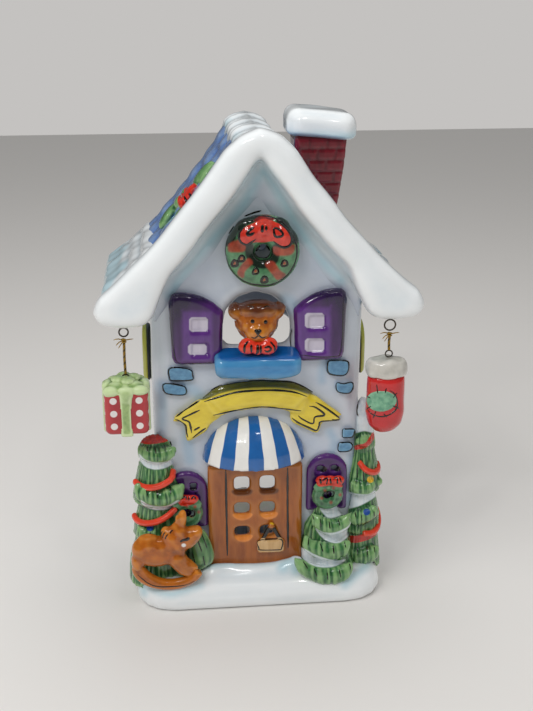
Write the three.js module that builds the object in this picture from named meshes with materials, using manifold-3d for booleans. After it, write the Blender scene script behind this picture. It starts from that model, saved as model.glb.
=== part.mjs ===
// Shop-shaped ceramic tealight holder with two charms that hang under its eaves.
// Millimetres, +Z up, front towards -Y, origin on the table under the middle of the piece.
// Heights named in the house frame count from the top of the snow plinth.
import * as THREE from 'three';
import { mergeVertices } from 'three/addons/utils/BufferGeometryUtils.js';
import Module from 'manifold-3d';

const wasm = await Module();
wasm.setup();

// Clearance between luted pieces, and how far a cutter runs past what it cuts
const GAP = 0.3;
const PAST = 2;

// Snow plinth under the house
const PLINTH = { halfWidth: 59, front: -45, back: 45, height: 14, corner: 17, shoulder: 7 };

// Hollow walls
const WALL = { halfWidth: 48, front: -27, back: 36, thickness: 4.5, corner: 8 };

// Roof slab: each slope is a quadratic curve from the ridge by the knee to the eave
const ROOF = {
  ridge: 212, kneeX: 37.3, kneeZ: 156.2, overhang: 17.8, eave: 134.4,
  thickness: 6, back: 46,
};

// Snow roll along the front gable, and the flat underside of the snow at the eaves
const RIM = { front: -46, depth: 14, rise: 6.2, drop: 7.3, round: 4, crest: 210.3, soffit: 127 };
const RIDGE_SNOW = { share: 0.13, thickness: 1.6, crest: 206.8 };
const EAVE_SNOW = { thickness: 1.9, edge: 3.4, leftShare: 0.66, rightShare: 0.76, inset: 0.8 };

// Chimney
const CHIMNEY = {
  x: 32.4, y: 16, lean: 3.4, topX: 12, topY: 10, footX: 8.7, footY: 9, top: 195, foot: 150,
};
const CHIMNEY_SNOW = { halfX: 15.6, halfY: 13.5, height: 16.8, round: 5 };

// Upper window, and what is placed from its foot or its crown
const WINDOW = { x: -0.7, halfWidth: 15, rise: 9.5 };
const WREATH = { x: 1.6, above: 20.5, ring: 10.2, tube: 5.8, hole: 3.2, squash: 0.75 };
const SHUTTER = { inner: 15.8, outer: 39.3, below: 7, low: 17.5, high: 26.4, thickness: 5, round: 1.8 };
const PANE = { width: 8.6, height: 6.8, upper: 11.85, lower: 0.5, depth: 1.4 };
const SILL = { halfWidth: 19, front: -39.5, slope: 1.7, height: 10, above: 6.5, round: 2.4 };
const BEAR = { y: -30, rise: 12, headX: 11.6, headY: 7.6, headZ: 9.6, ear: 3.4, neck: 8 };
const BOW_TIE = { y: -36.6, halfWidth: 8.8, height: 7.6, depth: 4.6, knot: 2 };

// Banner over the awning: half is half the band's chord, and the tails hang beyond it
const BANNER = {
  x: -0.5, thickness: 5.5, round: 1.6, above: 6.2, height: 9.5, radius: 62, half: 23.5,
  tail: { thickness: 3.4, tuck: 6, reach: 15.5, notch: 7.5, outerDrop: 11.5, innerDrop: 18.5 },
};
const AWNING = { x: -2.2, above: 2.7, radius: 24, depth: 16.5, height: 20.6, wall: 3.2 };
const DOOR = { left: -23.8, right: 20.4, top: 54.5, thickness: 4, round: 1, opening: 3 };
// Rows of panes as [top, foot] below the top of the door
const DOOR_PANES = {
  left: -8.1, right: 3.9, width: 7.8, rows: [[5.9, 13.9], [19.5, 26.3], [32.1, 38.1]], round: 1.8,
};
const SIGN = { x: 5.6, width: 13, foot: 8.6, top: 14.8, knob: 23.2, strap: 1.4, thickness: 1.6 };
const LOW_WINDOW = {
  halfWidth: 9.6, height: 29, thickness: 3, round: 1.1, leftX: -34, leftFoot: 22.6,
  rightX: 32.3, rightFoot: 28.6, hole: 3.6, holeZ: 21.8, holeX: 3.3, ring: 4.8, tube: 2.8, ringZ: 9.2,
};
const STONE = { width: 11, height: 7, thickness: 2.2, round: 0.8 };
// Stones at [x, height over the foot of the sill] and [x, height over the right lower window]
const UPPER_STONES = [[-35.2, -0.2], [-37.7, -8.2], [37, -0.4], [40.4, -10.3]];
const LOWER_STONES = [[42, 9], [41.3, 2]];
const SIDE_WINDOW = { y: -2, halfWidth: 11, foot: 91, height: 25, thickness: 3.6, round: 1.4 };
const HOLLY = { leaf: 8.5, width: 4.4, thickness: 2.4, at: 0.4, y: -1, spread: 8, bow: 4, twig: 1.1 };

// Trees: place of the axis, squash in y and tiers of [foot height, foot radius, top height, top radius]
const LEFT_TREE = {
  x: -47.5, y: -26, squash: 0.84,
  tiers: [[-6, 15, 25, 9.5], [19, 12, 36, 8.5], [36.5, 11.4, 57.5, 7], [59, 8.4, 71.5, 5], [71.5, 3, 76, 1]],
};
const LEFT_SKIRT = { x: -37.5, y: -25, squash: 0.86, tiers: [[-6, 14.6, 27, 4]] };
const RIGHT_TREE = {
  x: 50, y: -21, squash: 1,
  tiers: [[-6, 11, 14, 8.6], [15, 10.2, 31, 7.2], [35, 9.4, 58, 5.6], [58, 6.4, 70, 4.4], [70, 5, 82, 1]],
};
const FRONT_TREE = {
  x: 32.4, y: -26, squash: 1.08,
  tiers: [[-9, 17, 9.5, 12], [5.5, 13.2, 21, 9.6], [16.5, 11.4, 28, 6.5], [28, 6.5, 33.5, 1.5]],
};
const GARLAND = { radius: 1.5, stand: 1.2, sides: 6, steps: 14 };
const BAUBLE = 2;

// Rocking horse on the front left of the plinth: lobes of [x, z, half length, half height, tilt, share
// of the thickness], and the line of the rocker as [x, z]
const HORSE = {
  y: -41.6, thickness: 4.6,
  lobes: [
    [-52.5, 19.5, 7.2, 7.2, 0, 1], [-46.5, 18.5, 8.5, 6.6, 0, 1], [-40.5, 22.5, 5.4, 8, -0.55, 1],
    [-37.5, 26.5, 4, 6, -0.5, 0.85], [-32.6, 25.2, 5.4, 4.2, -0.35, 0.9], [-35, 21.8, 3.4, 3.2, 0, 0.7],
    [-36.6, 33.5, 2.2, 5, 0.12, 0.55], [-56.4, 14, 2.6, 6, 0.1, 0.7], [-35.8, 10.6, 2.7, 7.6, -0.95, 0.7],
  ],
};
const ROCKER = {
  radius: 2.4, forward: 0.6,
  line: [[-58.4, 11.5], [-54.5, 5.5], [-47.5, 0.8], [-39.5, 0.2], [-33, 2.2], [-29.4, 6.2]],
};

// Wire eyes under the eaves and what hangs from them
const EYE = { wire: 0.4, shank: 1.2, leftX: -59.3, leftRing: 2, rightX: 57.9, rightRing: 2.5, y: -37.2 };
const CORD = { radius: 0.6, knot: 1.1, leftLength: 13.6, rightLength: 5.6 };
const LOOP = { ring: 1.6, wire: 0.35 };
const GIFT = { width: 18.4, depth: 16, height: 20.8, ribbon: 5, ply: 0.5, round: 1.2, bow: 3.4 };
const SACK = {
  radius: 8.4, squash: 0.72, height: 27.6, cuff: 9, cuffHeight: 7.6, patchX: 7, patchZ: 5.6, ply: 0.8,
};

// Tealight on the floor of the house
const TEALIGHT = {
  y: 4, radius: 19, height: 15.5, skin: 0.45, wax: 11.5, wick: 0.9, wickHeight: 17.5, plate: 6,
};
const ARCH = { halfWidth: 31, spring: 82 };

const EAVE_X = WALL.halfWidth + ROOF.overhang;
const RIM_BACK = RIM.front + RIM.depth;
const FACE = WALL.front - GAP;
const CREST_SHARE = 0.09;

// Heights on the front, stacked from the door upwards
const AWNING_FOOT = DOOR.top + AWNING.above;
const BANNER_TOP = AWNING_FOOT + AWNING.height + BANNER.above + BANNER.height;
const SILL_FOOT = BANNER_TOP + SILL.above;
const SILL_LIP = SILL_FOOT + SILL.height;
const SILL_TOP = SILL_LIP + SILL.slope;
const WINDOW_FOOT = SILL_TOP + GAP;
const WREATH_Z = WINDOW_FOOT + WINDOW.rise + WINDOW.halfWidth + WREATH.above;

// Glaze and metal colours with their roughness and metalness
const GLAZE = {
  snow: [0xe9eef0, 0.2], wall: [0xd5dde3, 0.22], tile: [0x6f92c0, 0.25], brick: [0x7a1626, 0.25],
  green: [0x3f7a3f, 0.25], purple: [0x4b2465, 0.22], sill: [0x2f7fb5, 0.2], bear: [0xb5651d, 0.28],
  red: [0xe0301e, 0.22], yellow: [0xe8cf3a, 0.24], awning: [0x1f63a8, 0.2], door: [0xa0561a, 0.28],
  stone: [0x4e86a8, 0.26], horse: [0xa85a10, 0.24], lime: [0xa8a832, 0.26], gift: [0xb5202a, 0.24],
  ribbon: [0xa9c17f, 0.26], cuff: [0xd8d6ce, 0.3], patch: [0x7fb591, 0.3], wire: [0x6b6256, 0.45, 0.9],
  cord: [0xa8862f, 0.6, 0.3], cup: [0xc8ccd0, 0.35, 0.95], wax: [0xf3efe2, 0.55], wick: [0xe6e0cf, 0.9],
};

const model = new THREE.Group();
const house = new THREE.Group();
house.position.z = PLINTH.height;
model.add(house);

// Turns a geometry into a solid: only positions are kept, and collapsed triangles are dropped
function solidOf(geometry) {
  const bare = new THREE.BufferGeometry();
  bare.setAttribute('position', geometry.attributes.position.clone());
  if (geometry.index) bare.setIndex(geometry.index.clone());
  const merged = mergeVertices(bare, 1e-4);
  const corners = merged.index.array;
  const kept = [];
  for (let i = 0; i < corners.length; i += 3) {
    const [a, b, c] = [corners[i], corners[i + 1], corners[i + 2]];
    if (a !== b && b !== c && c !== a) kept.push(a, b, c);
  }
  const vertProperties = new Float32Array(merged.attributes.position.array);
  const triVerts = new Uint32Array(kept);
  return new wasm.Manifold(new wasm.Mesh({ numProp: 3, vertProperties, triVerts }));
}

function geometryOf(solid) {
  const mesh = solid.getMesh();
  const geometry = new THREE.BufferGeometry();
  geometry.setAttribute('position', new THREE.BufferAttribute(mesh.vertProperties, mesh.numProp));
  geometry.setIndex(new THREE.BufferAttribute(mesh.triVerts, 1));
  geometry.computeVertexNormals();
  return geometry;
}

function joined(solids) {
  return solids.reduce((whole, piece) => whole.add(piece));
}

function cut(solid, cutters) {
  return cutters.reduce((left, cutter) => left.subtract(cutter), solid);
}

// Names one piece, glazes it and hangs it in its group
function place(name, shape, glaze, group = house) {
  const [color, roughness, metalness = 0] = GLAZE[glaze];
  const geometry = shape.isBufferGeometry ? shape : geometryOf(shape);
  const material = new THREE.MeshStandardMaterial({ color, roughness, metalness });
  const mesh = new THREE.Mesh(geometry, material);
  mesh.name = name;
  group.add(mesh);
}

// Outlines
function outline(points) {
  return new THREE.Shape(points.map(([x, y]) => new THREE.Vector2(x, y)));
}

function roundedRect(x0, y0, x1, y1, r) {
  const shape = new THREE.Shape();
  shape.absarc(x1 - r, y0 + r, r, -Math.PI / 2, 0);
  shape.absarc(x1 - r, y1 - r, r, 0, Math.PI / 2);
  shape.absarc(x0 + r, y1 - r, r, Math.PI / 2, Math.PI);
  shape.absarc(x0 + r, y0 + r, r, Math.PI, Math.PI * 1.5);
  shape.closePath();
  return shape;
}

function archOutline(x, foot, spring, halfWidth) {
  const shape = new THREE.Shape();
  shape.moveTo(x - halfWidth, foot);
  shape.lineTo(x + halfWidth, foot);
  shape.absarc(x, spring, halfWidth, 0, Math.PI);
  shape.closePath();
  return shape;
}

// A solid drawn on the front (x, z) and run from one depth to another, with rounded edges
function reliefGeometry(shape, front, back, round = 0, curveSegments = 5, bevelSegments = 1) {
  const geometry = new THREE.ExtrudeGeometry(shape, {
    depth: back - front - 2 * round, curveSegments, steps: 1, bevelEnabled: round > 0,
    bevelThickness: round, bevelSize: round, bevelOffset: -round, bevelSegments,
  });
  geometry.rotateX(Math.PI / 2);
  geometry.translate(0, back - round, 0);
  return geometry;
}

function relief(...drawn) {
  return solidOf(reliefGeometry(...drawn));
}

// A solid drawn on the ground plan and run upwards
function pillar(shape, foot, top, curveSegments = 4) {
  const geometry = new THREE.ExtrudeGeometry(shape, {
    depth: top - foot, curveSegments, steps: 1, bevelEnabled: false,
  });
  geometry.translate(0, 0, foot);
  return solidOf(geometry);
}

function box(x0, y0, z0, x1, y1, z1) {
  const geometry = new THREE.BoxGeometry(x1 - x0, y1 - y0, z1 - z0);
  geometry.translate((x0 + x1) / 2, (y0 + y1) / 2, (z0 + z1) / 2);
  return solidOf(geometry);
}

function ellipsoid([x, y, z], [rx, ry, rz], tilt = 0, around = 8, rows = 5) {
  const geometry = new THREE.SphereGeometry(1, around, rows);
  geometry.rotateX(Math.PI / 2);
  geometry.scale(rx, ry, rz);
  geometry.rotateY(tilt);
  geometry.translate(x, y, z);
  return solidOf(geometry);
}

function ring([x, y, z], radius, tube, sides = 6, around = 16) {
  const geometry = new THREE.TorusGeometry(radius, tube, sides, around);
  geometry.rotateX(Math.PI / 2);
  geometry.translate(x, y, z);
  return solidOf(geometry);
}

// A profile of [radius, height] turned about the vertical
function turned(profile, around, squash = 1) {
  const points = profile.map(([r, z]) => new THREE.Vector2(r, z));
  const geometry = new THREE.LatheGeometry(points, around);
  geometry.rotateX(Math.PI / 2);
  geometry.scale(1, squash, 1);
  return solidOf(geometry);
}

function tube(points, radius, sides, steps) {
  const path = new THREE.CatmullRomCurve3(points.map((p) => new THREE.Vector3(...p)));
  const circle = new THREE.Shape();
  circle.absarc(0, 0, radius, 0, Math.PI * 2);
  return solidOf(new THREE.ExtrudeGeometry(circle, {
    extrudePath: path, steps, curveSegments: sides / 2, bevelEnabled: false,
  }));
}

// A closed skin over rings of points that all have the same count, flat at both ends
function loft(rings) {
  const count = rings[0].length;
  const positions = rings.flat(2);
  const index = [];
  for (let level = 0; level + 1 < rings.length; level += 1) {
    for (let i = 0; i < count; i += 1) {
      const a = level * count + i;
      const b = level * count + (i + 1) % count;
      index.push(a, b, b + count, a, b + count, a + count);
    }
  }
  const last = (rings.length - 1) * count;
  for (let i = 1; i + 1 < count; i += 1) {
    index.push(0, i + 1, i, last, last + i, last + i + 1);
  }
  const geometry = new THREE.BufferGeometry();
  geometry.setAttribute('position', new THREE.Float32BufferAttribute(positions, 3));
  geometry.setIndex(index);
  return solidOf(geometry);
}

// Points round a rectangle with round corners, anticlockwise seen from above
function groundRing(halfWidth, front, back, corner, z, perCorner = 5) {
  const centres = [
    [halfWidth - corner, front + corner, -90], [halfWidth - corner, back - corner, 0],
    [corner - halfWidth, back - corner, 90], [corner - halfWidth, front + corner, 180],
  ];
  return centres.flatMap(([x, y, start]) => Array.from({ length: perCorner }, (_, i) => {
    const angle = THREE.MathUtils.degToRad(start + (90 * i) / (perCorner - 1));
    return [x + corner * Math.cos(angle), y + corner * Math.sin(angle), z];
  }));
}

// Roof slope: a point of the tile line at t, moved out along its normal
function slopePoint(t, offset = 0) {
  const s = 1 - t;
  const x = 2 * s * t * ROOF.kneeX + t * t * EAVE_X;
  const z = s * s * ROOF.ridge + 2 * s * t * ROOF.kneeZ + t * t * ROOF.eave;
  const dx = s * ROOF.kneeX + t * (EAVE_X - ROOF.kneeX);
  const dz = s * (ROOF.kneeZ - ROOF.ridge) + t * (ROOF.eave - ROOF.kneeZ);
  const length = Math.hypot(dx, dz);
  return [x - (offset * dz) / length, z + (offset * dx) / length];
}

function slopeLine(offset, from, to, count = 8) {
  return Array.from({ length: count }, (_, i) => slopePoint(from + ((to - from) * i) / (count - 1), offset));
}

// Where the slope at an offset crosses a given x
function slopeAt(x, offset) {
  let low = 0;
  let high = 1;
  for (let i = 0; i < 40; i += 1) {
    const middle = (low + high) / 2;
    if (slopePoint(middle, offset)[0] < x) low = middle;
    else high = middle;
  }
  return low;
}

function mirrored(half) {
  const left = half.filter(([x]) => x > 1e-6).map(([x, z]) => [-x, z]).reverse();
  return [...half, ...left];
}

// Height of the point under the ridge where a lowered slope meets its mirror image
function meetingHeight(offset) {
  const [x, z] = slopePoint(slopeAt(0, offset), offset);
  return z - x;
}

// Half section of the tiled slab, blunt at the ridge where the snow covers it
function slabHalf() {
  const under = -ROOF.thickness;
  return [
    ...slopeLine(0, CREST_SHARE, 1),
    ...slopeLine(under, slopeAt(1, under), 1).reverse(),
    [0, meetingHeight(under)],
  ];
}

function plinthSolid(grow = 0) {
  const { halfWidth, front, back, height, corner, shoulder } = PLINTH;
  const level = (inset, z) => groundRing(
    halfWidth - inset + grow, front + inset - grow, back - inset + grow, corner - inset + grow, z,
  );
  return loft([
    level(1.5, -grow), level(0, 1.5), level(0, height - shoulder),
    level(shoulder * 0.35, height - shoulder * 0.35 + grow), level(shoulder, height + grow),
  ]);
}

function makePlinth() {
  place('snow_base', plinthSolid(), 'snow', model);
}

// Parts of the front wall that are open, drawn on the front
function wallCutters() {
  const through = (shape, front = WALL.front - PAST, back = WALL.front + WALL.thickness + PAST) => (
    relief(shape, front, back)
  );
  const { left, right, width, rows } = DOOR_PANES;
  const { top, opening } = DOOR;
  const doorway = roundedRect(
    left - width / 2 - opening, top - rows[2][1] - opening,
    right + width / 2 + opening, top - rows[0][0] + opening, opening,
  );
  const window = archOutline(WINDOW.x, WINDOW_FOOT, WINDOW_FOOT + WINDOW.rise, WINDOW.halfWidth);
  const arch = archOutline(0, -PAST, ARCH.spring, ARCH.halfWidth);
  const gable = outline(Array.from({ length: 6 }, (_, i) => {
    const angle = (i * Math.PI) / 3;
    return [WREATH.x + WREATH.hole * Math.cos(angle), WREATH_Z + WREATH.hole * Math.sin(angle)];
  }));
  return [
    through(doorway), through(window), through(gable), ...lowWindowHoles(),
    relief(arch, WALL.back - WALL.thickness - PAST, WALL.back + PAST, 0, 8),
  ];
}

function lowWindowHoles() {
  const { leftX, leftFoot, rightX, rightFoot, hole, holeX, holeZ } = LOW_WINDOW;
  return [[leftX, leftFoot], [rightX, rightFoot]].flatMap(([x, foot]) => [-holeX, holeX].map((dx) => box(
    x + dx - hole / 2, WALL.front - 2 * LOW_WINDOW.thickness, foot + holeZ - hole / 2,
    x + dx + hole / 2, WALL.front + WALL.thickness + PAST, foot + holeZ + hole / 2,
  )));
}

// Everything of the walls, grown a little, that reliefs at the corners must keep clear of
function wallBlock(grow) {
  const { halfWidth, front, back, corner } = WALL;
  const plan = roundedRect(-halfWidth - grow, front - grow, halfWidth + grow, back + grow, corner + grow);
  return pillar(plan, -PLINTH.height, ROOF.eave);
}

function makeWalls() {
  const { halfWidth, front, back, corner, thickness } = WALL;
  const outer = pillar(roundedRect(-halfWidth, front, halfWidth, back, corner), GAP, ROOF.ridge);
  const inner = pillar(roundedRect(
    thickness - halfWidth, front + thickness, halfWidth - thickness, back - thickness, corner - thickness,
  ), GAP - PAST, ROOF.ridge + PAST);
  const under = -ROOF.thickness - GAP;
  const eaveEnd = slopePoint(1, under);
  const half = [
    [eaveEnd[0], -PAST], ...slopeLine(under, slopeAt(1, under), 1).reverse(), [0, meetingHeight(under)],
  ];
  const underRoof = relief(outline(mirrored(half)), front - PAST, back + PAST);
  place('house_shell', cut(outer.subtract(inner).intersect(underRoof), wallCutters()), 'wall');
}

function makeRoof() {
  place('roof_tiles', relief(outline(mirrored(slabHalf())), RIM_BACK + GAP, ROOF.back), 'tile');
}

function rimHalf() {
  const inner = slopeAt(WALL.halfWidth - 10, -RIM.drop);
  return [
    [0, RIM.crest], [8, RIM.crest - 2.8], ...slopeLine(RIM.rise, 0.13, 1, 9),
    [EAVE_X + RIM.rise, ROOF.eave - 1], [EAVE_X + RIM.rise * 0.55, RIM.soffit + 1.8],
    [EAVE_X - 4.8, RIM.soffit], [WALL.halfWidth + 2.5, RIM.soffit + 0.5],
    [WALL.halfWidth - 1.5, RIM.soffit + 4],
    ...slopeLine(-RIM.drop, slopeAt(1, -RIM.drop), inner, 6).reverse(), [0, meetingHeight(-RIM.drop)],
  ];
}

// Half section of the snow on the ridge, grown outwards when it serves as a cutter
function ridgeHalf(grow = 0) {
  const { share, thickness, crest } = RIDGE_SNOW;
  const along = share + grow / ROOF.kneeX;
  return [
    [0, crest + grow], [3 + grow, crest - 0.8 + grow], slopePoint(share * 0.7, thickness + 0.8 + grow),
    slopePoint(share, thickness + grow), slopePoint(along + 0.02, GAP + 0.5),
    ...slopeLine(GAP, along, CREST_SHARE, 3), [0, slopePoint(CREST_SHARE)[1] + GAP],
  ];
}

// Everything under the upper face of the tiles, as a cutter for what stands on them
function belowTiles() {
  const half = [...slopeLine(GAP, CREST_SHARE, 1), [EAVE_X, 0]];
  return relief(outline(mirrored(half)), RIM_BACK, ROOF.back + PAST);
}

function rimSolid(grow = 0) {
  const grown = RIM.round - grow;
  return relief(outline(mirrored(rimHalf())), RIM.front, RIM_BACK + grow, grown, 5, 2);
}

function makeRoofSnow() {
  place('front_snow_rim', rimSolid(), 'snow');
  place('ridge_snow', relief(outline(mirrored(ridgeHalf())), RIM_BACK + GAP, ROOF.back), 'snow');
  place('left_eave_snow', eaveSnow(-1, EAVE_SNOW.leftShare), 'snow');
  place('right_eave_snow', eaveSnow(1, EAVE_SNOW.rightShare), 'snow');
}

// Snow that lies on the foot of a slope, wraps its edge and reaches back to the wall underneath;
// its upper end is a share of the way down the slope
function eaveSnow(side, share) {
  const { thickness, edge, inset } = EAVE_SNOW;
  const under = -ROOF.thickness - GAP;
  const wallX = WALL.halfWidth + GAP;
  const [tx, tz] = [slopePoint(1)[0] - slopePoint(0.99)[0], slopePoint(1)[1] - slopePoint(0.99)[1]];
  const stretch = GAP / Math.hypot(tx, tz);
  const beyond = ([x, z]) => [x + tx * stretch, z + tz * stretch];
  const middle = (1 + share) / 2;
  const half = [
    slopePoint(share, GAP + 0.6), slopePoint(share + (middle - share) / 3, thickness),
    slopePoint(middle, thickness + 0.6), slopePoint(1, edge),
    [EAVE_X + edge, ROOF.eave - 1], [EAVE_X + edge * 0.5, RIM.soffit + 2.4],
    [EAVE_X - 4.8, RIM.soffit + inset], [wallX, RIM.soffit + inset],
    ...slopeLine(under, slopeAt(wallX, under), 1, 4),
    beyond(slopePoint(1, under)), beyond(slopePoint(1, GAP)), slopePoint(middle, GAP),
    slopePoint(share + (middle - share) / 4, GAP),
  ];
  return relief(outline(half.map(([x, z]) => [side * x, z])), RIM_BACK + GAP, ROOF.back);
}

function makeChimney() {
  const { x, y, lean, topX, topY, footX, footY, top, foot } = CHIMNEY;
  const level = (cx, hx, hy, z) => [
    [cx - hx, y - hy, z], [cx + hx, y - hy, z], [cx + hx, y + hy, z], [cx - hx, y + hy, z],
  ];
  const stack = loft([level(x - lean, footX, footY, foot), level(x, topX, topY, top)]);
  const ridge = relief(outline(mirrored(ridgeHalf(GAP))), RIM_BACK, ROOF.back + PAST);
  place('chimney_stack', cut(stack, [belowTiles(), ridge]), 'brick');

  const { halfX, halfY, height, round } = CHIMNEY_SNOW;
  const foot0 = top + GAP;
  const capOutline = roundedRect(x - halfX, foot0, x + halfX, foot0 + height, round);
  const cap = relief(capOutline, y - halfY, y + halfY, round * 0.8, 3);
  place('chimney_snow_cap', cap.subtract(ridge), 'snow');
}

// A wreath that lies against the front wall, with a bow of two loops and a knot
function wreathSolid(x, z, back, radius, thick, bow) {
  const loopX = bow * 1.1;
  const band = new THREE.TorusGeometry(radius, thick, 6, 14);
  band.rotateX(Math.PI / 2);
  band.scale(1, WREATH.squash, 1);
  band.translate(x, back - thick * WREATH.squash, z);
  const y = back - thick * WREATH.squash * 1.55;
  const top = z + radius + thick * 0.1;
  return joined([
    solidOf(band), ellipsoid([x - loopX, y, top], [bow, thick * 0.55, bow * 0.72], -0.25),
    ellipsoid([x + loopX, y, top], [bow, thick * 0.55, bow * 0.72], 0.25),
    ellipsoid([x, y, top], [bow * 0.42, thick * 0.62, bow * 0.5]),
  ]);
}

function makeWreath() {
  const { x, ring: radius, tube: thick } = WREATH;
  place('gable_wreath', wreathSolid(x, WREATH_Z, FACE, radius, thick, 6), 'green');
}

function makeShutters() {
  const { inner, outer, below, thickness, round } = SHUTTER;
  const [foot, low, high] = [-below, SHUTTER.low, SHUTTER.high].map((rise) => WINDOW_FOOT + rise);
  for (const [name, side] of [['left', -1], ['right', 1]]) {
    const leaf = new THREE.Shape();
    leaf.moveTo(side * (inner + 0.8), foot + 2.4);
    leaf.quadraticCurveTo(side * (inner + 2), foot, side * (inner + 6), foot);
    leaf.lineTo(side * (outer - 3.5), foot + 0.3);
    leaf.quadraticCurveTo(side * (outer - 1), foot + 0.6, side * (outer - 0.8), foot + 3.5);
    leaf.lineTo(side * outer, high - 5);
    leaf.quadraticCurveTo(side * outer, high, side * (outer - 4), high);
    leaf.quadraticCurveTo(side * (inner + 8), high, side * inner, low);
    leaf.closePath();
    const middle = (side * (inner + outer - 3)) / 2;
    const recess = (centre) => box(
      middle - PANE.width / 2, FACE - thickness - PAST, WINDOW_FOOT + centre - PANE.height / 2,
      middle + PANE.width / 2, FACE - thickness + PANE.depth, WINDOW_FOOT + centre + PANE.height / 2,
    );
    const board = relief(leaf, FACE - thickness, FACE, round, 4);
    const cutters = [recess(PANE.upper), recess(PANE.lower), sillSolid(GAP), rimSolid(GAP)];
    place(`${name}_shutter`, cut(board, cutters), 'purple');
  }
}

// The sill is drawn from the side and run across the front
function sillSolid(grow = 0) {
  const { halfWidth, front, round } = SILL;
  const [top, lip, foot] = [SILL_TOP + grow, SILL_LIP + grow, SILL_FOOT - grow];
  const side = new THREE.Shape();
  side.moveTo(FACE + grow, foot);
  side.lineTo(FACE + grow, top);
  side.lineTo(front + 4.5, lip);
  side.quadraticCurveTo(front - grow, lip, front - grow, (lip + foot) / 2);
  side.quadraticCurveTo(front - grow, foot, front + 5, foot);
  side.closePath();
  const geometry = new THREE.ExtrudeGeometry(side, {
    depth: 2 * (halfWidth + grow - round), curveSegments: 4, steps: 1, bevelEnabled: true,
    bevelThickness: round, bevelSize: round * 0.6, bevelOffset: -round * 0.6, bevelSegments: 1,
  });
  geometry.rotateX(Math.PI / 2);
  geometry.rotateZ(Math.PI / 2);
  geometry.translate(WINDOW.x - halfWidth - grow + round, 0, 0);
  return solidOf(geometry);
}

function bowTieSolid(grow = 0) {
  const { y, halfWidth, height, depth, knot } = BOW_TIE;
  const z = SILL_LIP + height / 2 + 1.4;
  const loop = (side) => ellipsoid(
    [WINDOW.x + side * halfWidth * 0.52, y, z], [halfWidth * 0.5 + grow, depth / 2 + grow, height / 2 + grow],
  );
  const middle = ellipsoid([WINDOW.x, y, z], [knot + grow, depth / 2 + grow, knot + grow]);
  return joined([loop(-1), loop(1), middle]);
}

function makeWindowDressing() {
  place('window_sill', sillSolid(), 'sill');
  const { y, rise, headX, headY, headZ, ear, neck } = BEAR;
  const x = WINDOW.x;
  const z = WINDOW_FOOT + rise;
  const bear = joined([
    ellipsoid([x, y, z], [headX, headY, headZ], 0, 10, 7),
    ellipsoid([x - headX * 0.82, y, z + headZ * 0.6], [ear, ear * 0.7, ear]),
    ellipsoid([x + headX * 0.82, y, z + headZ * 0.6], [ear, ear * 0.7, ear]),
    ellipsoid([x, y - headY * 0.75, z - headZ * 0.35], [4.4, 3, 3.6]),
    ellipsoid([x, y - 1.5, SILL_TOP + 2], [neck, 5, 6]),
  ]);
  const past = headY + neck;
  const below = box(x - past, y - past, z - 3 * headZ, x + past, y + past, WINDOW_FOOT + GAP);
  place('teddy_bear', cut(bear, [bowTieSolid(GAP), sillSolid(GAP), below]), 'bear');
  place('bear_bow_tie', cut(bowTieSolid(), [sillSolid(GAP)]), 'red');
}

// A band on an arc with two swallow-tailed ends that hang out from behind it
function makeBanner() {
  const { x, thickness, round, height, radius, half, tail } = BANNER;
  const centre = BANNER_TOP - radius;
  const spread = Math.asin(half / radius);
  const band = new THREE.Shape();
  band.absarc(x, centre, radius, Math.PI / 2 + spread, Math.PI / 2 - spread, true);
  band.absarc(x, centre, radius - height, Math.PI / 2 - spread * 0.86, Math.PI / 2 + spread * 0.86, false);
  band.closePath();
  const endZ = centre + Math.sqrt(radius * radius - half * half);
  const { tuck, reach, notch, outerDrop, innerDrop } = tail;
  const swallowTail = (side) => relief(outline([
    [half - tuck, 1], [half + 3, 1.5], [half + reach, outerDrop], [half + notch, outerDrop],
    [half + 5, innerDrop], [half - tuck - 0.5, innerDrop - 8.5],
  ].map(([out, drop]) => [x + side * out, endZ - drop])), FACE - tail.thickness, FACE, round / 2);
  const front = relief(band, FACE - thickness, FACE, round, 8);
  place('shop_banner', joined([front, swallowTail(-1), swallowTail(1)]), 'yellow');
}

// A quarter dome with a hollow underside
function makeAwning() {
  const { x, radius, depth, height, wall } = AWNING;
  const foot = AWNING_FOOT;
  const dome = ellipsoid([x, FACE, foot], [radius, depth, height], 0, 24, 10);
  const hollow = ellipsoid([x, FACE, foot], [radius - wall, depth - wall, height - wall], 0, 16, 8);
  const quarter = box(x - radius - 1, FACE - depth - 1, foot, x + radius + 1, FACE, foot + height + 1);
  place('door_awning', dome.subtract(hollow).intersect(quarter), 'awning');
}

// Room that the door takes up, as a cutter for what crowds it
function doorBlock() {
  const { left, right, thickness } = DOOR;
  return box(left - GAP, FACE - thickness - GAP, -PLINTH.height, right + GAP, 0, AWNING_FOOT);
}

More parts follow.
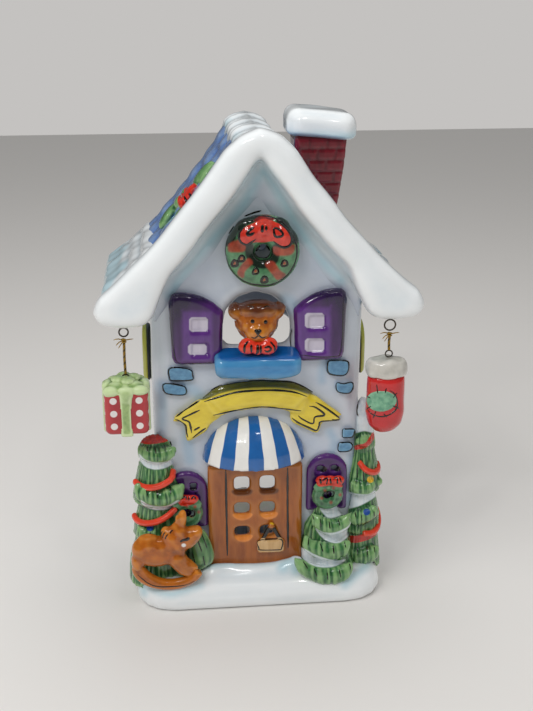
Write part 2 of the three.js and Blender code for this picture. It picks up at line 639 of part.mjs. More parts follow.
function makeDoor() {
  const { left, right, top, thickness, round } = DOOR;
  const leaf = relief(roundedRect(left, 2 * GAP, right, top, 1.5), FACE - thickness, FACE, round, 2);
  const panes = DOOR_PANES.rows.flatMap(([high, low]) => [DOOR_PANES.left, DOOR_PANES.right].map((x) => {
    const half = DOOR_PANES.width / 2;
    return relief(
      roundedRect(x - half, top - low, x + half, top - high, DOOR_PANES.round),
      FACE - thickness - PAST, WALL.front + PAST, 0, 1,
    );
  }));
  place('shop_door', cut(leaf, panes), 'door');

  const { x, width, foot, top: signTop, knob, strap, thickness: ply } = SIGN;
  const back = FACE - thickness - GAP;
  const reach = width * 0.34;
  const straps = relief(outline([
    [x - reach - strap, signTop - 1], [x - reach, signTop - 1], [x, knob - strap], [x + reach, signTop - 1],
    [x + reach + strap, signTop - 1], [x + strap / 2, knob + 0.8], [x - strap / 2, knob + 0.8],
  ]), back - ply, back);
  place('door_sign', joined([
    relief(roundedRect(x - width / 2, foot, x + width / 2, signTop, 0.8), back - ply, back, 0.3, 1),
    straps, ellipsoid([x, back - ply, knob], [1.5, ply, 1.5])
      .subtract(box(x - 3, back, knob - 3, x + 3, back + 3, knob + 3)),
  ]), 'yellow');
}

function makeLowWindows() {
  const { halfWidth, height, thickness, round, ring: radius, tube: thick, ringZ } = LOW_WINDOW;
  const sides = [
    ['left', LOW_WINDOW.leftX, LOW_WINDOW.leftFoot, LEFT_TREE],
    ['right', LOW_WINDOW.rightX, LOW_WINDOW.rightFoot, FRONT_TREE],
  ];
  for (const [name, x, foot, tree] of sides) {
    const plate = relief(
      archOutline(x, foot, foot + height - halfWidth, halfWidth), FACE - thickness, FACE, round, 5,
    );
    place(`${name}_window`, cut(plate, [treeSolid(tree, GAP), ...lowWindowHoles()]), 'purple');
    const wreath = wreathSolid(x, foot + ringZ, FACE - thickness - GAP, radius, thick, 3.4);
    place(`${name}_window_wreath`, cut(wreath, [treeSolid(tree, GAP), ...ropesOn(tree)]), 'green');
  }
}

function makeStones() {
  const { width, height, thickness, round } = STONE;
  const windowTop = LOW_WINDOW.rightFoot + LOW_WINDOW.height;
  const stones = [
    ...UPPER_STONES.map(([x, over]) => [x, SILL_FOOT + over]),
    ...LOWER_STONES.map(([x, over]) => [x, windowTop + over]),
  ];
  stones.forEach(([x, z], i) => {
    const stone = roundedRect(x - width / 2, z - height / 2, x + width / 2, z + height / 2, 2.4);
    const clear = wallBlock(GAP);
    const block = relief(stone, FACE - thickness, WALL.front + WALL.corner, round, 3);
    const inTheWay = x > 0 ? treeSolid(RIGHT_TREE, GAP) : treeSolid(LEFT_TREE, GAP);
    place(`wall_stone_${i + 1}`, cut(block, [clear, inTheWay]), 'stone');
  });
}

function makeSideWindows() {
  const { y, halfWidth, foot, height, thickness, round } = SIDE_WINDOW;
  for (const [name, side] of [['left', -1], ['right', 1]]) {
    const arch = archOutline(0, foot, foot + height - halfWidth, halfWidth);
    const geometry = reliefGeometry(arch, 0, thickness, round, 5);
    geometry.rotateZ((side * Math.PI) / 2);
    const out = WALL.halfWidth + GAP;
    geometry.translate(side * out + (side > 0 ? thickness : -thickness), y, 0);
    place(`${name}_side_window`, geometry, 'lime');
  }
}

// Two leaves on a twig with a bow between them, lying on the left slope
function makeHolly() {
  const { leaf, width, thickness, at, y, spread, bow, twig } = HOLLY;
  const onSlope = (t, dy, offset) => {
    const [x, z] = slopePoint(t, offset);
    return [-x, y + dy, z];
  };
  const lobe = (t, dy, radii, turn) => {
    const [x1, z1] = slopePoint(t + 0.01);
    const [x0, z0] = slopePoint(t);
    const geometry = new THREE.SphereGeometry(1, 10, 6);
    geometry.rotateX(Math.PI / 2);
    geometry.scale(...radii);
    geometry.rotateZ(turn);
    geometry.rotateY(-Math.atan2(z0 - z1, x1 - x0));
    geometry.translate(...onSlope(t, dy, GAP + thickness * 0.7));
    return solidOf(geometry);
  };
  const stem = [[0.1, 6], [0.03, 2], [-0.04, 0], [-0.1, 0]].map(([t, dy]) => onSlope(at + t, dy, twig + GAP));
  const sprig = joined([
    lobe(at + 0.12, spread, [leaf, width, thickness], 0.7),
    lobe(at - 0.12, 1, [leaf, width, thickness], -0.4),
    lobe(at - 0.02, -1, [bow, bow * 1.4, thickness * 1.5], 0.2),
    lobe(at + 0.03, 3, [bow, bow, thickness * 1.3], 0), tube(stem, twig, 6, 8),
  ]);
  place('roof_holly', sprig.subtract(belowTiles()), 'green');
}

// Tiers like upturned cups, each wider at its foot than the top of the tier below
function treeProfile(tiers, grow) {
  const profile = [[0, tiers[0][0] - grow]];
  tiers.forEach(([foot, footRadius, top, topRadius], i) => {
    const below = i > 0 ? tiers[i - 1] : null;
    if (below) {
      const share = (foot - below[0]) / (below[2] - below[0]);
      const neck = foot >= below[2] ? below[3] : below[1] + (below[3] - below[1]) * share;
      profile.push([Math.min(neck, footRadius - 0.6) + grow, foot - grow]);
    }
    profile.push([footRadius + grow, foot - grow + 0.1]);
    profile.push([footRadius * 0.93 + grow, foot + (top - foot) * 0.4]);
    if (i === tiers.length - 1) profile.push([topRadius + grow, top], [0, top + grow]);
  });
  return profile;
}

function treeSolid(tree, grow = 0) {
  const solid = turned(treeProfile(tree.tiers, grow), 12, tree.squash).translate([tree.x, tree.y, 0]);
  return tree === LEFT_TREE ? solid.add(treeSolid(LEFT_SKIRT, grow)) : solid;
}

function plinthInHouse(grow) {
  return plinthSolid(grow).translate([0, 0, -PLINTH.height]);
}

// A rope that sags round a tree from one height to another
function garlandSolid(tree, low, high, from, to, grow = 0) {
  const radiusAt = (z) => {
    const probe = treeProfile(tree.tiers, 0).filter(([r]) => r > 0);
    const near = probe.filter(([, pz]) => Math.abs(pz - z) < 7).map(([r]) => r);
    return Math.max(...near) + GARLAND.stand;
  };
  const points = Array.from({ length: 7 }, (_, i) => {
    const share = i / 6;
    const angle = THREE.MathUtils.degToRad(from + (to - from) * share);
    const z = low + (high - low) * (share - 0.5) - 3 * Math.sin(Math.PI * share) + (high - low) / 2;
    const radius = radiusAt(z);
    return [tree.x + radius * Math.cos(angle), tree.y + radius * tree.squash * Math.sin(angle), z];
  });
  return tube(points, GARLAND.radius + grow, GARLAND.sides, GARLAND.steps);
}

// Name, tree, low and high end, and the stretch of its turn in degrees
const GARLANDS = [
  ['left_tree_upper_garland', LEFT_TREE, 48, 53, 200, 330],
  ['left_tree_lower_garland', LEFT_TREE, 29, 35, 185, 315],
  ['right_tree_upper_garland', RIGHT_TREE, 52, 47, 250, 370],
  ['right_tree_lower_garland', RIGHT_TREE, 16, 22, 270, 380],
];

function ropesOn(tree) {
  return GARLANDS.filter(([, on]) => on === tree).map(
    ([, on, low, high, from, to]) => garlandSolid(on, low, high, from, to, GAP),
  );
}

function makeTrees() {
  const walls = wallBlock(GAP);
  const plinth = plinthInHouse(GAP);
  const front = treeSolid(FRONT_TREE, GAP);
  const horse = joined([horseSolid(GAP), rockerSolid(GAP)]);
  const bauble = (tree, z, angle, radius) => ellipsoid([
    tree.x + radius * Math.cos(THREE.MathUtils.degToRad(angle)),
    tree.y + radius * tree.squash * Math.sin(THREE.MathUtils.degToRad(angle)), z,
  ], [BAUBLE, BAUBLE, BAUBLE]);

  const left = joined([
    treeSolid(LEFT_TREE), bauble(LEFT_TREE, 44, 292, 11.6), bauble(LEFT_TREE, 24, 255, 12.4),
  ]);
  place('left_tree', cut(left, [walls, plinth, horse, ...ropesOn(LEFT_TREE)]), 'green');
  const right = joined([
    treeSolid(RIGHT_TREE), bauble(RIGHT_TREE, 40, 330, 9.2), bauble(RIGHT_TREE, 25, 310, 9.6),
  ]);
  place('right_tree', cut(right, [walls, plinth, front, ...ropesOn(RIGHT_TREE)]), 'green');
  place('front_tree', cut(treeSolid(FRONT_TREE), [walls, plinth, doorBlock()]), 'green');
  for (const [name, tree, low, high, from, to] of GARLANDS) {
    const rope = garlandSolid(tree, low, high, from, to);
    place(name, cut(rope, [walls, front, horse]), 'red');
  }
}

function horseSolid(grow = 0) {
  const { y, thickness, lobes } = HORSE;
  return joined(lobes.map(([x, z, halfLength, halfHeight, tilt, share]) => ellipsoid(
    [x, y, z], [halfLength + grow, thickness * share + grow, halfHeight + grow], tilt,
  )));
}

function rockerSolid(grow = 0) {
  const { radius, forward, line } = ROCKER;
  return tube(line.map(([x, z]) => [x, HORSE.y - forward, z]), radius + grow, 8, 10);
}

function makeHorse() {
  place('rocking_horse', cut(horseSolid(), [rockerSolid(GAP), plinthInHouse(GAP)]), 'horse');
  place('horse_rocker', cut(rockerSolid(), [plinthInHouse(GAP)]), 'horse');
}

// A wire ring with a short shank that is set into the snow above it
function makeEye(name, x, radius) {
  const centre = RIM.soffit - GAP - EYE.shank - radius;
  const shank = new THREE.CylinderGeometry(EYE.wire, EYE.wire, EYE.shank, 6);
  shank.rotateX(Math.PI / 2);
  shank.translate(x, EYE.y, centre + radius + EYE.shank / 2);
  place(name, joined([ring([x, EYE.y, centre], radius, EYE.wire), solidOf(shank)]), 'wire');
  return centre - radius;
}

// Knot, cord and wire loop of one charm; returns the height of the loop's foot
function hangCord(name, x, pivot, length) {
  const { radius, knot } = CORD;
  const top = pivot - EYE.wire - GAP;
  place(`${name}_knot`, ellipsoid([x, EYE.y, top - knot], [knot, knot, knot]), 'cord');
  const from = top - 2 * knot - GAP;
  const to = from - length;
  const cord = new THREE.CylinderGeometry(radius, radius, length, 8);
  cord.rotateX(Math.PI / 2);
  cord.translate(x, EYE.y, (from + to) / 2);
  place(`${name}_cord`, solidOf(cord), 'cord');
  const centre = to - GAP - LOOP.wire - LOOP.ring;
  place(`${name}_wire_loop`, ring([x, EYE.y, centre], LOOP.ring, LOOP.wire, 6, 14), 'wire');
  return centre - LOOP.ring - LOOP.wire;
}

function makeGift(x, top) {
  const { width, depth, height, ribbon, ply, round, bow } = GIFT;
  const y = EYE.y;
  const bowHeight = bow * 0.95;
  const z1 = top - 2 * GAP - ply;
  const z0 = z1 - height;
  const carton = roundedRect(x - width / 2, z0, x + width / 2, z1, round + 0.6);
  place('gift_box', relief(carton, y - depth / 2, y + depth / 2, round, 2), 'gift');
  const outer = ply + GAP;
  const bands = joined([
    box(x - ribbon / 2, y - depth / 2 - outer, z0 - outer, x + ribbon / 2, y + depth / 2 + outer, z1 + outer),
    box(x - width / 2 - outer, y - ribbon / 2, z0 - outer, x + width / 2 + outer, y + ribbon / 2, z1 + outer),
  ]);
  const inner = box(
    x - width / 2 - GAP, y - depth / 2 - GAP, z0 - GAP, x + width / 2 + GAP, y + depth / 2 + GAP, z1 + GAP,
  );
  place('gift_ribbon', bands.subtract(inner), 'ribbon');
  const foot = z1 + outer + GAP;
  const petals = Array.from({ length: 4 }, (_, i) => {
    const angle = (i * Math.PI) / 2 + 0.3;
    const centre = [x + bow * Math.cos(angle), y + bow * Math.sin(angle), foot + bowHeight / 2];
    return ellipsoid(centre, [bow, bow, bowHeight / 2]);
  });
  const bowSolid = joined([...petals, ellipsoid([x, y, foot + bowHeight / 2], [bow, bow, bowHeight / 2])]);
  const under = box(x - 3 * bow, y - 3 * bow, foot - 3 * bow, x + 3 * bow, y + 3 * bow, foot);
  const slotX = LOOP.ring + LOOP.wire + GAP;
  const slotY = LOOP.wire + GAP;
  const slot = box(x - slotX, y - slotY, foot - 1, x + slotX, y + slotY, foot + 2 * bow);
  place('gift_bow', cut(bowSolid, [under, slot]), 'ribbon');
}

function sackProfile(grow) {
  const { radius, height } = SACK;
  return [
    [0, -height - grow], [radius * 0.5 + grow, -height * 0.96 - grow], [radius * 0.85 + grow, -height * 0.84],
    [radius * 1.02 + grow, -height * 0.62], [radius * 0.98 + grow, -height * 0.35], [radius * 0.94 + grow, 0],
    [0, 0],
  ];
}

function makeMitten(x, top) {
  const { squash, cuff, cuffHeight, patchX, patchZ, ply, height } = SACK;
  const y = EYE.y;
  const at = (solid, z) => solid.translate([x, y, z]);
  const cuffTop = top - GAP;
  const sackTop = cuffTop - cuffHeight - GAP;
  place('mitten_cuff', at(turned([
    [0, -cuffHeight], [cuff * 0.93, -cuffHeight], [cuff, -cuffHeight * 0.75], [cuff, -cuffHeight * 0.35],
    [cuff * 0.86, -cuffHeight * 0.08], [cuff * 0.5, 0], [0, 0],
  ], 18, squash), cuffTop), 'cuff');
  place('mitten_sack', at(turned(sackProfile(0), 18, squash), sackTop), 'gift');
  const oval = new THREE.Shape();
  oval.absellipse(x - 2.4, sackTop - height * 0.385, patchX, patchZ, 0, Math.PI * 2);
  const window = relief(oval, y - SACK.radius * 2, y, 0, 7);
  const skin = at(turned(sackProfile(GAP + ply), 18, squash), sackTop)
    .subtract(at(turned(sackProfile(GAP * 1.5), 18, squash), sackTop));
  place('mitten_patch', skin.intersect(window), 'patch');
}

function makeTealight() {
  const { y, radius, height, skin, wax, wick, wickHeight, plate } = TEALIGHT;
  const floor = GAP;
  const at = (profile, around) => turned(profile, around).translate([0, y, floor]);
  place('tealight_cup', at([
    [0, 0], [radius - 0.8, 0], [radius, 0.8], [radius, height], [radius - skin, height],
    [radius - skin, skin], [0, skin],
  ], 28), 'cup');
  const seat = skin + GAP;
  const neck = wick + GAP + 0.5;
  place('wick_sustainer', at([
    [wick + GAP, seat], [plate, seat], [plate, seat + 0.4], [neck, seat + 0.4], [neck, seat + 3.4],
    [wick + GAP, seat + 3.4], [wick + GAP, seat],
  ], 16), 'cup');
  const waxFoot = seat + 0.4 + GAP;
  const waxRadius = radius - skin - GAP;
  place('tealight_wax', at([
    [neck + GAP, waxFoot], [waxRadius, waxFoot], [waxRadius, wax], [waxRadius - 1, wax + 0.4],
    [wick + GAP, wax], [wick + GAP, waxFoot + 3.6], [neck + GAP, waxFoot + 3.6], [neck + GAP, waxFoot],
  ], 24), 'wax');
  const wickFoot = seat + 0.2;
  place('tealight_wick', at([
    [0, wickFoot], [wick, wickFoot], [wick, wickHeight], [0, wickHeight],
  ], 8), 'wick');
}

makePlinth();
makeWalls();
makeRoof();
makeRoofSnow();
makeChimney();
makeWreath();
makeShutters();
makeWindowDressing();
makeBanner();
makeAwning();
makeDoor();
makeLowWindows();
makeStones();
makeSideWindows();
makeHolly();
makeTrees();
makeHorse();
const leftEyeFoot = makeEye('left_wire_eye', EYE.leftX, EYE.leftRing);
makeGift(EYE.leftX, hangCord('gift', EYE.leftX, leftEyeFoot, CORD.leftLength));
const rightEyeFoot = makeEye('right_wire_eye', EYE.rightX, EYE.rightRing);
makeMitten(EYE.rightX, hangCord('mitten', EYE.rightX, rightEyeFoot, CORD.rightLength));
makeTealight();

export default model;
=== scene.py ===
"""Glazed clay toy-shop tealight holder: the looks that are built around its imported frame.

The object is slip-cast clay. Its walls, roof, snow and every relief are separate pieces that
are luted together, painted by hand under a clear gloss glaze and fired. Lengths are in
millimetres until a piece is fired into a Blender object, which is in metres.
"""

import logging
import math
from collections.abc import Sequence
from dataclasses import dataclass, field
from enum import Enum
from typing import Any

import bpy
import numpy as np
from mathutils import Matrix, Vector
from mathutils.bvhtree import BVHTree


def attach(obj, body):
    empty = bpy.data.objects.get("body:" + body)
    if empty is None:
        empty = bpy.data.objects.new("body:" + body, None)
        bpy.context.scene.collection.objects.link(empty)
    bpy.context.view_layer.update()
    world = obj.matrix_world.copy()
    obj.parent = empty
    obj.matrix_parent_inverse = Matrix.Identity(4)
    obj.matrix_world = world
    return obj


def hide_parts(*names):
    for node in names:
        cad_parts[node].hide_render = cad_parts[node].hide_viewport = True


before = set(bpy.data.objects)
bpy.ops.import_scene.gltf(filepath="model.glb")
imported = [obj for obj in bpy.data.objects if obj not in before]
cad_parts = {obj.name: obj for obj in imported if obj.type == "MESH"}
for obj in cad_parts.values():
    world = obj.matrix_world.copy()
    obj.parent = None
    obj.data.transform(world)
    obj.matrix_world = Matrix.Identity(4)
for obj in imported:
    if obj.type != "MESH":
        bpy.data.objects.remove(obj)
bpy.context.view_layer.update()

log = logging.getLogger("toy_shop")

METRES = 0.001
# The farthest that a mark's distance is kept for, in millimetres.
OUTSIDE = 12.0

Points = Sequence[Sequence[float]]
Socket = bpy.types.NodeSocket


class Body(Enum):
    """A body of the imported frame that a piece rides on."""

    HOUSE = "house"
    GIFT_LINK = "gift_link"
    GIFT_THREAD = "gift_thread"
    GIFT = "gift_charm"
    MITTEN_LINK = "mitten_link"
    MITTEN_THREAD = "mitten_thread"
    MITTEN = "mitten_charm"
    TEALIGHT = "tealight"


class Side(Enum):
    """A side of the house as the camera sees it, with the sign of its X."""

    LEFT = -1
    RIGHT = 1


@dataclass(frozen=True)
class Sight:
    """The place that the photograph was taken from, which also throws painted marks onto the clay."""

    place: tuple[float, float, float] = (-41.3, -479.8, 286.4)
    target: tuple[float, float, float] = (3.9, -27.0, 120.8)
    focal: float = 1070.0
    wide: int = 533
    high: int = 711

    def axes(self) -> np.ndarray:
        """Returns the rows right, up and forward of the view."""
        forward = np.subtract(self.target, self.place)
        forward /= np.linalg.norm(forward)
        right = np.cross(forward, (0.0, 0.0, 1.0))
        right /= np.linalg.norm(right)
        return np.array([right, np.cross(right, forward), forward])

    def pixels(self, points: np.ndarray) -> np.ndarray:
        """Projects points into the photograph.

        Args:
            points: Places in millimetres, one row each.

        Returns:
            The photograph's pixel of each point.
        """
        seen = (points - np.array(self.place)) @ self.axes().T
        across = self.wide / 2 + self.focal * seen[:, 0] / seen[:, 2]
        down = self.high / 2 - self.focal * seen[:, 1] / seen[:, 2]
        return np.stack([across, down], axis=1)

    def ray(self, pixel: Sequence[float]) -> tuple[Vector, Vector]:
        """Returns the start and the direction of the line of sight through one pixel.

        Args:
            pixel: The photograph's pixel.

        Returns:
            The camera's place and the direction, which has length 1.
        """
        across = (pixel[0] - self.wide / 2) / self.focal
        up = (self.high / 2 - pixel[1]) / self.focal
        toward = np.array([across, up, 1.0]) @ self.axes()
        return Vector(self.place), Vector(toward / np.linalg.norm(toward))

    def reach(self, pixel: Sequence[float], depth: float) -> np.ndarray:
        """Returns the point that a pixel shows on the upright plane where Y is depth."""
        start, way = self.ray(pixel)
        return np.array(start + way * ((depth - start.y) / way.y))

    def scale(self, points: np.ndarray) -> np.ndarray:
        """Returns the millimetres that one pixel covers at each point."""
        seen = (points - np.array(self.place)) @ self.axes().T
        return seen[:, 2] / self.focal


SIGHT = Sight()


def spline(points: Points, step: float, closed: bool = False) -> np.ndarray:
    """Runs a smooth curve through given points.

    Args:
        points: The points that the curve passes through.
        step: The distance between the points that come back.
        closed: Whether the curve returns to its start.

    Returns:
        Evenly spaced points along the curve.
    """
    knots = np.array(points, dtype=float)
    if closed:
        knots = np.vstack([knots[-1], knots, knots[:2]])
    else:
        knots = np.vstack([2 * knots[0] - knots[1], knots, 2 * knots[-1] - knots[-2]])
    fine = []
    share = np.linspace(0, 1, 12, endpoint=False)[:, None]
    for a, b, c, d in zip(knots, knots[1:], knots[2:], knots[3:]):
        bend = (2 * a - 5 * b + 4 * c - d) * share**2 + (3 * b - a - 3 * c + d) * share**3
        fine.append(0.5 * (2 * b + (c - a) * share + bend))
    path = np.vstack(fine + [knots[-2]])
    along = np.concatenate([[0], np.cumsum(np.linalg.norm(np.diff(path, axis=0), axis=1))])
    count = max(int(round(along[-1] / step)), 2)
    wanted = np.linspace(0, along[-1], count + 1)
    return np.stack([np.interp(wanted, along, path[:, i]) for i in range(path.shape[1])], axis=1)


def unit(vectors: np.ndarray) -> np.ndarray:
    """Returns vectors of length 1 that point the same ways."""
    return vectors / np.maximum(np.linalg.norm(vectors, axis=1), 1e-9)[:, None]


def off_run(points: np.ndarray, start: np.ndarray, run: np.ndarray) -> np.ndarray:
    """Returns how far points lie from the straight run that leads on from a start."""
    share = np.clip((points - start) @ run / max(run @ run, 1e-9), 0, 1)
    return np.linalg.norm(points - start - share[:, None] * run, axis=1)


@dataclass
class Skin:
    """A closed surface of points in millimetres and faces, before it is fused with others."""

    points: np.ndarray
    faces: list[tuple[int, ...]]

    @staticmethod
    def of_mesh(mesh: bpy.types.Mesh, unit: float = 1.0) -> "Skin":
        """Copies a mesh with its loose triangles merged, and its lengths divided by unit.

        Args:
            mesh: The mesh.
            unit: The millimetres' length in the mesh.

        Returns:
            The skin.
        """
        places = np.empty(len(mesh.vertices) * 3)
        mesh.vertices.foreach_get("co", places)
        places = np.round(places.reshape(-1, 3) / unit, 4)
        merged, index = np.unique(places, axis=0, return_inverse=True)
        index = index.reshape(-1)
        faces = [tuple(int(index[v]) for v in face.vertices) for face in mesh.polygons]
        return Skin(merged, [face for face in faces if len(set(face)) == len(face)])

    @staticmethod
    def of_node(name: str) -> "Skin":
        """Copies a node of the frame."""
        return Skin.of_mesh(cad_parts[name].data, METRES)

    @staticmethod
    def loft(rings: np.ndarray, looped: bool = False) -> "Skin":
        """Runs a skin over rings of points.

        Args:
            rings: The rings in order, each with the same number of points.
            looped: Whether the last ring meets the first, as in a wreath.

        Returns:
            The closed skin, flat at its ends.
        """
        rows, sides = rings.shape[:2]
        faces: list[tuple[int, ...]] = []
        for i in range(rows if looped else rows - 1):
            a, b = i * sides, (i + 1) % rows * sides
            faces += [(a + j, b + j, b + (j + 1) % sides, a + (j + 1) % sides) for j in range(sides)]
        if not looped:
            faces += [tuple(range(sides)), tuple(reversed(range((rows - 1) * sides, rows * sides)))]
        return Skin(rings.reshape(-1, 3), faces)

    @staticmethod
    def lump(centre: Sequence[float], radii: Sequence[float], spin: float = 0.0) -> "Skin":
        """Makes a rounded lump.

        Args:
            centre: The middle of the lump.
            radii: Its half sizes along X, Y and Z.
            spin: Its turn about Y in radians, from X towards Z.

        Returns:
            The closed skin.
        """
        rings, sides = 10, 16
        lean = np.linspace(0.02, math.pi - 0.02, rings)[:, None]
        turn = 2 * math.pi * np.arange(sides) / sides
        across, along = np.sin(lean) * np.cos(turn), np.sin(lean) * np.sin(turn)
        unit = np.stack([across, along, np.cos(lean) + 0 * turn], axis=2)
        cos, sin = math.cos(spin), math.sin(spin)
        turned = unit * np.array(radii) @ np.array([[cos, 0, sin], [0, 1, 0], [-sin, 0, cos]])
        return Skin.loft(turned + np.array(centre))

    @staticmethod
    def dollop(pixel: Sequence[float], depth: float, radii: Sequence[float], spin: float = 0.0) -> "Skin":
        """Makes a lump whose middle is seen at a pixel of the photograph, at a depth of Y."""
        return Skin.lump(SIGHT.reach(pixel, depth), radii, spin)

    @staticmethod
    def slab(outline: Points, back: float, front: float) -> "Skin":
        """Cuts an upright slab of clay with a softened front edge.

        Args:
            outline: The photograph's pixels of its closed outline.
            back: The Y of its back.
            front: The Y of its front.

        Returns:
            The closed skin.
        """
        edge = spline(outline, 1.5, closed=True)[:-1]
        middle = edge.mean(0)
        rings = []
        for depth, share in ((back, 1.0), (front + 1.0, 1.0), (front + 0.1, 0.93), (front, 0.5)):
            rings.append([SIGHT.reach(pixel, depth) for pixel in middle + (edge - middle) * share])
        return Skin.loft(np.array(rings))

    @staticmethod
    def roll(path: Points, radii: Sequence[float], flat: float = 1.0, sides: int = 12) -> "Skin":
        """Rolls a coil of clay along a path.

        Args:
            path: The points of its middle line.
            radii: Its radii at evenly spaced stations.
            flat: Its thickness towards Y as a share of its radius.
            sides: The number of points round it.

        Returns:
            The closed skin, drawn in at its ends.
        """
        line = spline(path, 0.8)
        share = np.linspace(0, 1, len(line))
        wide = np.interp(share, np.linspace(0, 1, len(radii)), radii)
        ends = np.minimum(share, 1 - share) * (len(line) - 1) * 0.8
        wide = wide * np.sqrt(np.clip(ends / np.max(radii), 0.05, 1))
        ahead = unit(np.gradient(line, axis=0))
        side = np.cross(ahead, (0.0, 1.0, 0.0))
        side[np.linalg.norm(side, axis=1) < 1e-3] = (1.0, 0.0, 0.0)
        side = unit(side)
        over = np.cross(side, ahead)
        turns = (2 * math.pi * np.arange(sides) / sides)[None, :, None]
        rings = np.cos(turns) * side[:, None] + flat * np.sin(turns) * over[:, None]
        return Skin.loft(line[:, None] + rings * wide[:, None, None])

    @staticmethod
    def wreath(centre: Sequence[float], radius: float, tube: float, flat: float = 1.0) -> "Skin":
        """Makes an upright ring of clay that faces the front.

        Args:
            centre: The middle of the ring.
            radius: The radius of its middle line.
            tube: The radius of its roll.
            flat: Its thickness towards Y as a share of its roll.

        Returns:
            The closed skin.
        """
        turns = (2 * math.pi * np.arange(count) / count for count in (48, 16))
        round_, across = np.meshgrid(*turns, indexing="ij")
        out = radius + tube * np.cos(across)
        rings = np.stack([out * np.cos(round_), flat * tube * np.sin(across), out * np.sin(round_)], axis=2)
        return Skin.loft(rings + np.array(centre), looped=True)

    @staticmethod
    def joined(skins: Sequence["Skin"]) -> "Skin":
        """Puts several skins into one list of points and faces.

        Args:
            skins: The skins, which stay as they are.

        Returns:
            All of them as one skin.
        """
        faces, start = [], 0
        for skin in skins:
            faces += [tuple(v + start for v in face) for face in skin.faces]
            start += len(skin.points)
        return Skin(np.vstack([skin.points for skin in skins]), faces)

    def mesh(self, name: str, unit: float = 1.0) -> bpy.types.Mesh:
        """Makes a Blender mesh of the skin, with its lengths times unit.

        Args:
            name: The name of the mesh.
            unit: The length of a millimetre in the mesh.

        Returns:
            The mesh.
        """
        mesh = bpy.data.meshes.new(name)
        mesh.from_pydata((self.points * unit).tolist(), [], self.faces)
        mesh.update()
        return mesh


def settled(obj: bpy.types.Object) -> bpy.types.Mesh:
    """Turns an object and its modifiers into a plain mesh, and removes the object.

    Args:
        obj: The object, which is used up.

    Returns:
        Its mesh, as the modifiers leave it.
    """
    bpy.context.view_layer.update()
    shot = obj.evaluated_get(bpy.context.evaluated_depsgraph_get())
    mesh = bpy.data.meshes.new_from_object(shot)
    old = obj.data
    bpy.data.objects.remove(obj)
    bpy.data.meshes.remove(old)
    return mesh


def linked(name: str, mesh: bpy.types.Mesh) -> bpy.types.Object:
    """Puts a mesh into the scene as an object at the origin."""
    obj = bpy.data.objects.new(name, mesh)
    bpy.context.scene.collection.objects.link(obj)
    return obj


def ripple(points: np.ndarray, size: float, seed: int) -> np.ndarray:
    """Gives each point a smooth value between about -1 and 1, with waves of one size.

    Args:
        points: The points, one row each.
        size: The length of the waves.
        seed: The seed of their pattern.

    Returns:
        The value at each point.
    """
    draw = np.random.default_rng(seed)
    total = np.zeros(len(points))
    for _ in range(7):
        way = draw.normal(size=3)
        way /= np.linalg.norm(way)
        turn = 2 * math.pi / (size * draw.uniform(0.7, 1.6))
        total += np.sin(points @ way * turn + draw.uniform(0, 2 * math.pi))
    return total / 3.5


def outline_distance(points: np.ndarray, edge: np.ndarray) -> np.ndarray:
    """Measures how far flat points lie from a closed outline.

    Args:
        points: The flat points, one row each.
        edge: The outline's corners in order.

    Returns:
        The distance of each point, below zero inside the outline.
    """
    reach = 2 * OUTSIDE / 0.45
    middle, half = (edge.min(0) + edge.max(0)) / 2, np.ptp(edge, axis=0) / 2
    near = np.all(np.abs(points - middle) < half + reach, axis=1)
    close = points[near]
    gap = np.full(len(close), reach)
    within = np.zeros(len(close), dtype=bool)
    for start, end in zip(edge, np.roll(edge, -1, axis=0)):
        run = end - start
        gap = np.minimum(gap, off_run(close, start, run))
        rise = run[1] if abs(run[1]) > 1e-9 else 1e-9
        crosses = (start[1] > close[:, 1]) != (end[1] > close[:, 1])
        within ^= crosses & (close[:, 0] < start[0] + run[0] * (close[:, 1] - start[1]) / rise)
    distance = np.full(len(points), reach)
    distance[near] = np.where(within, -gap, gap)
    return distance


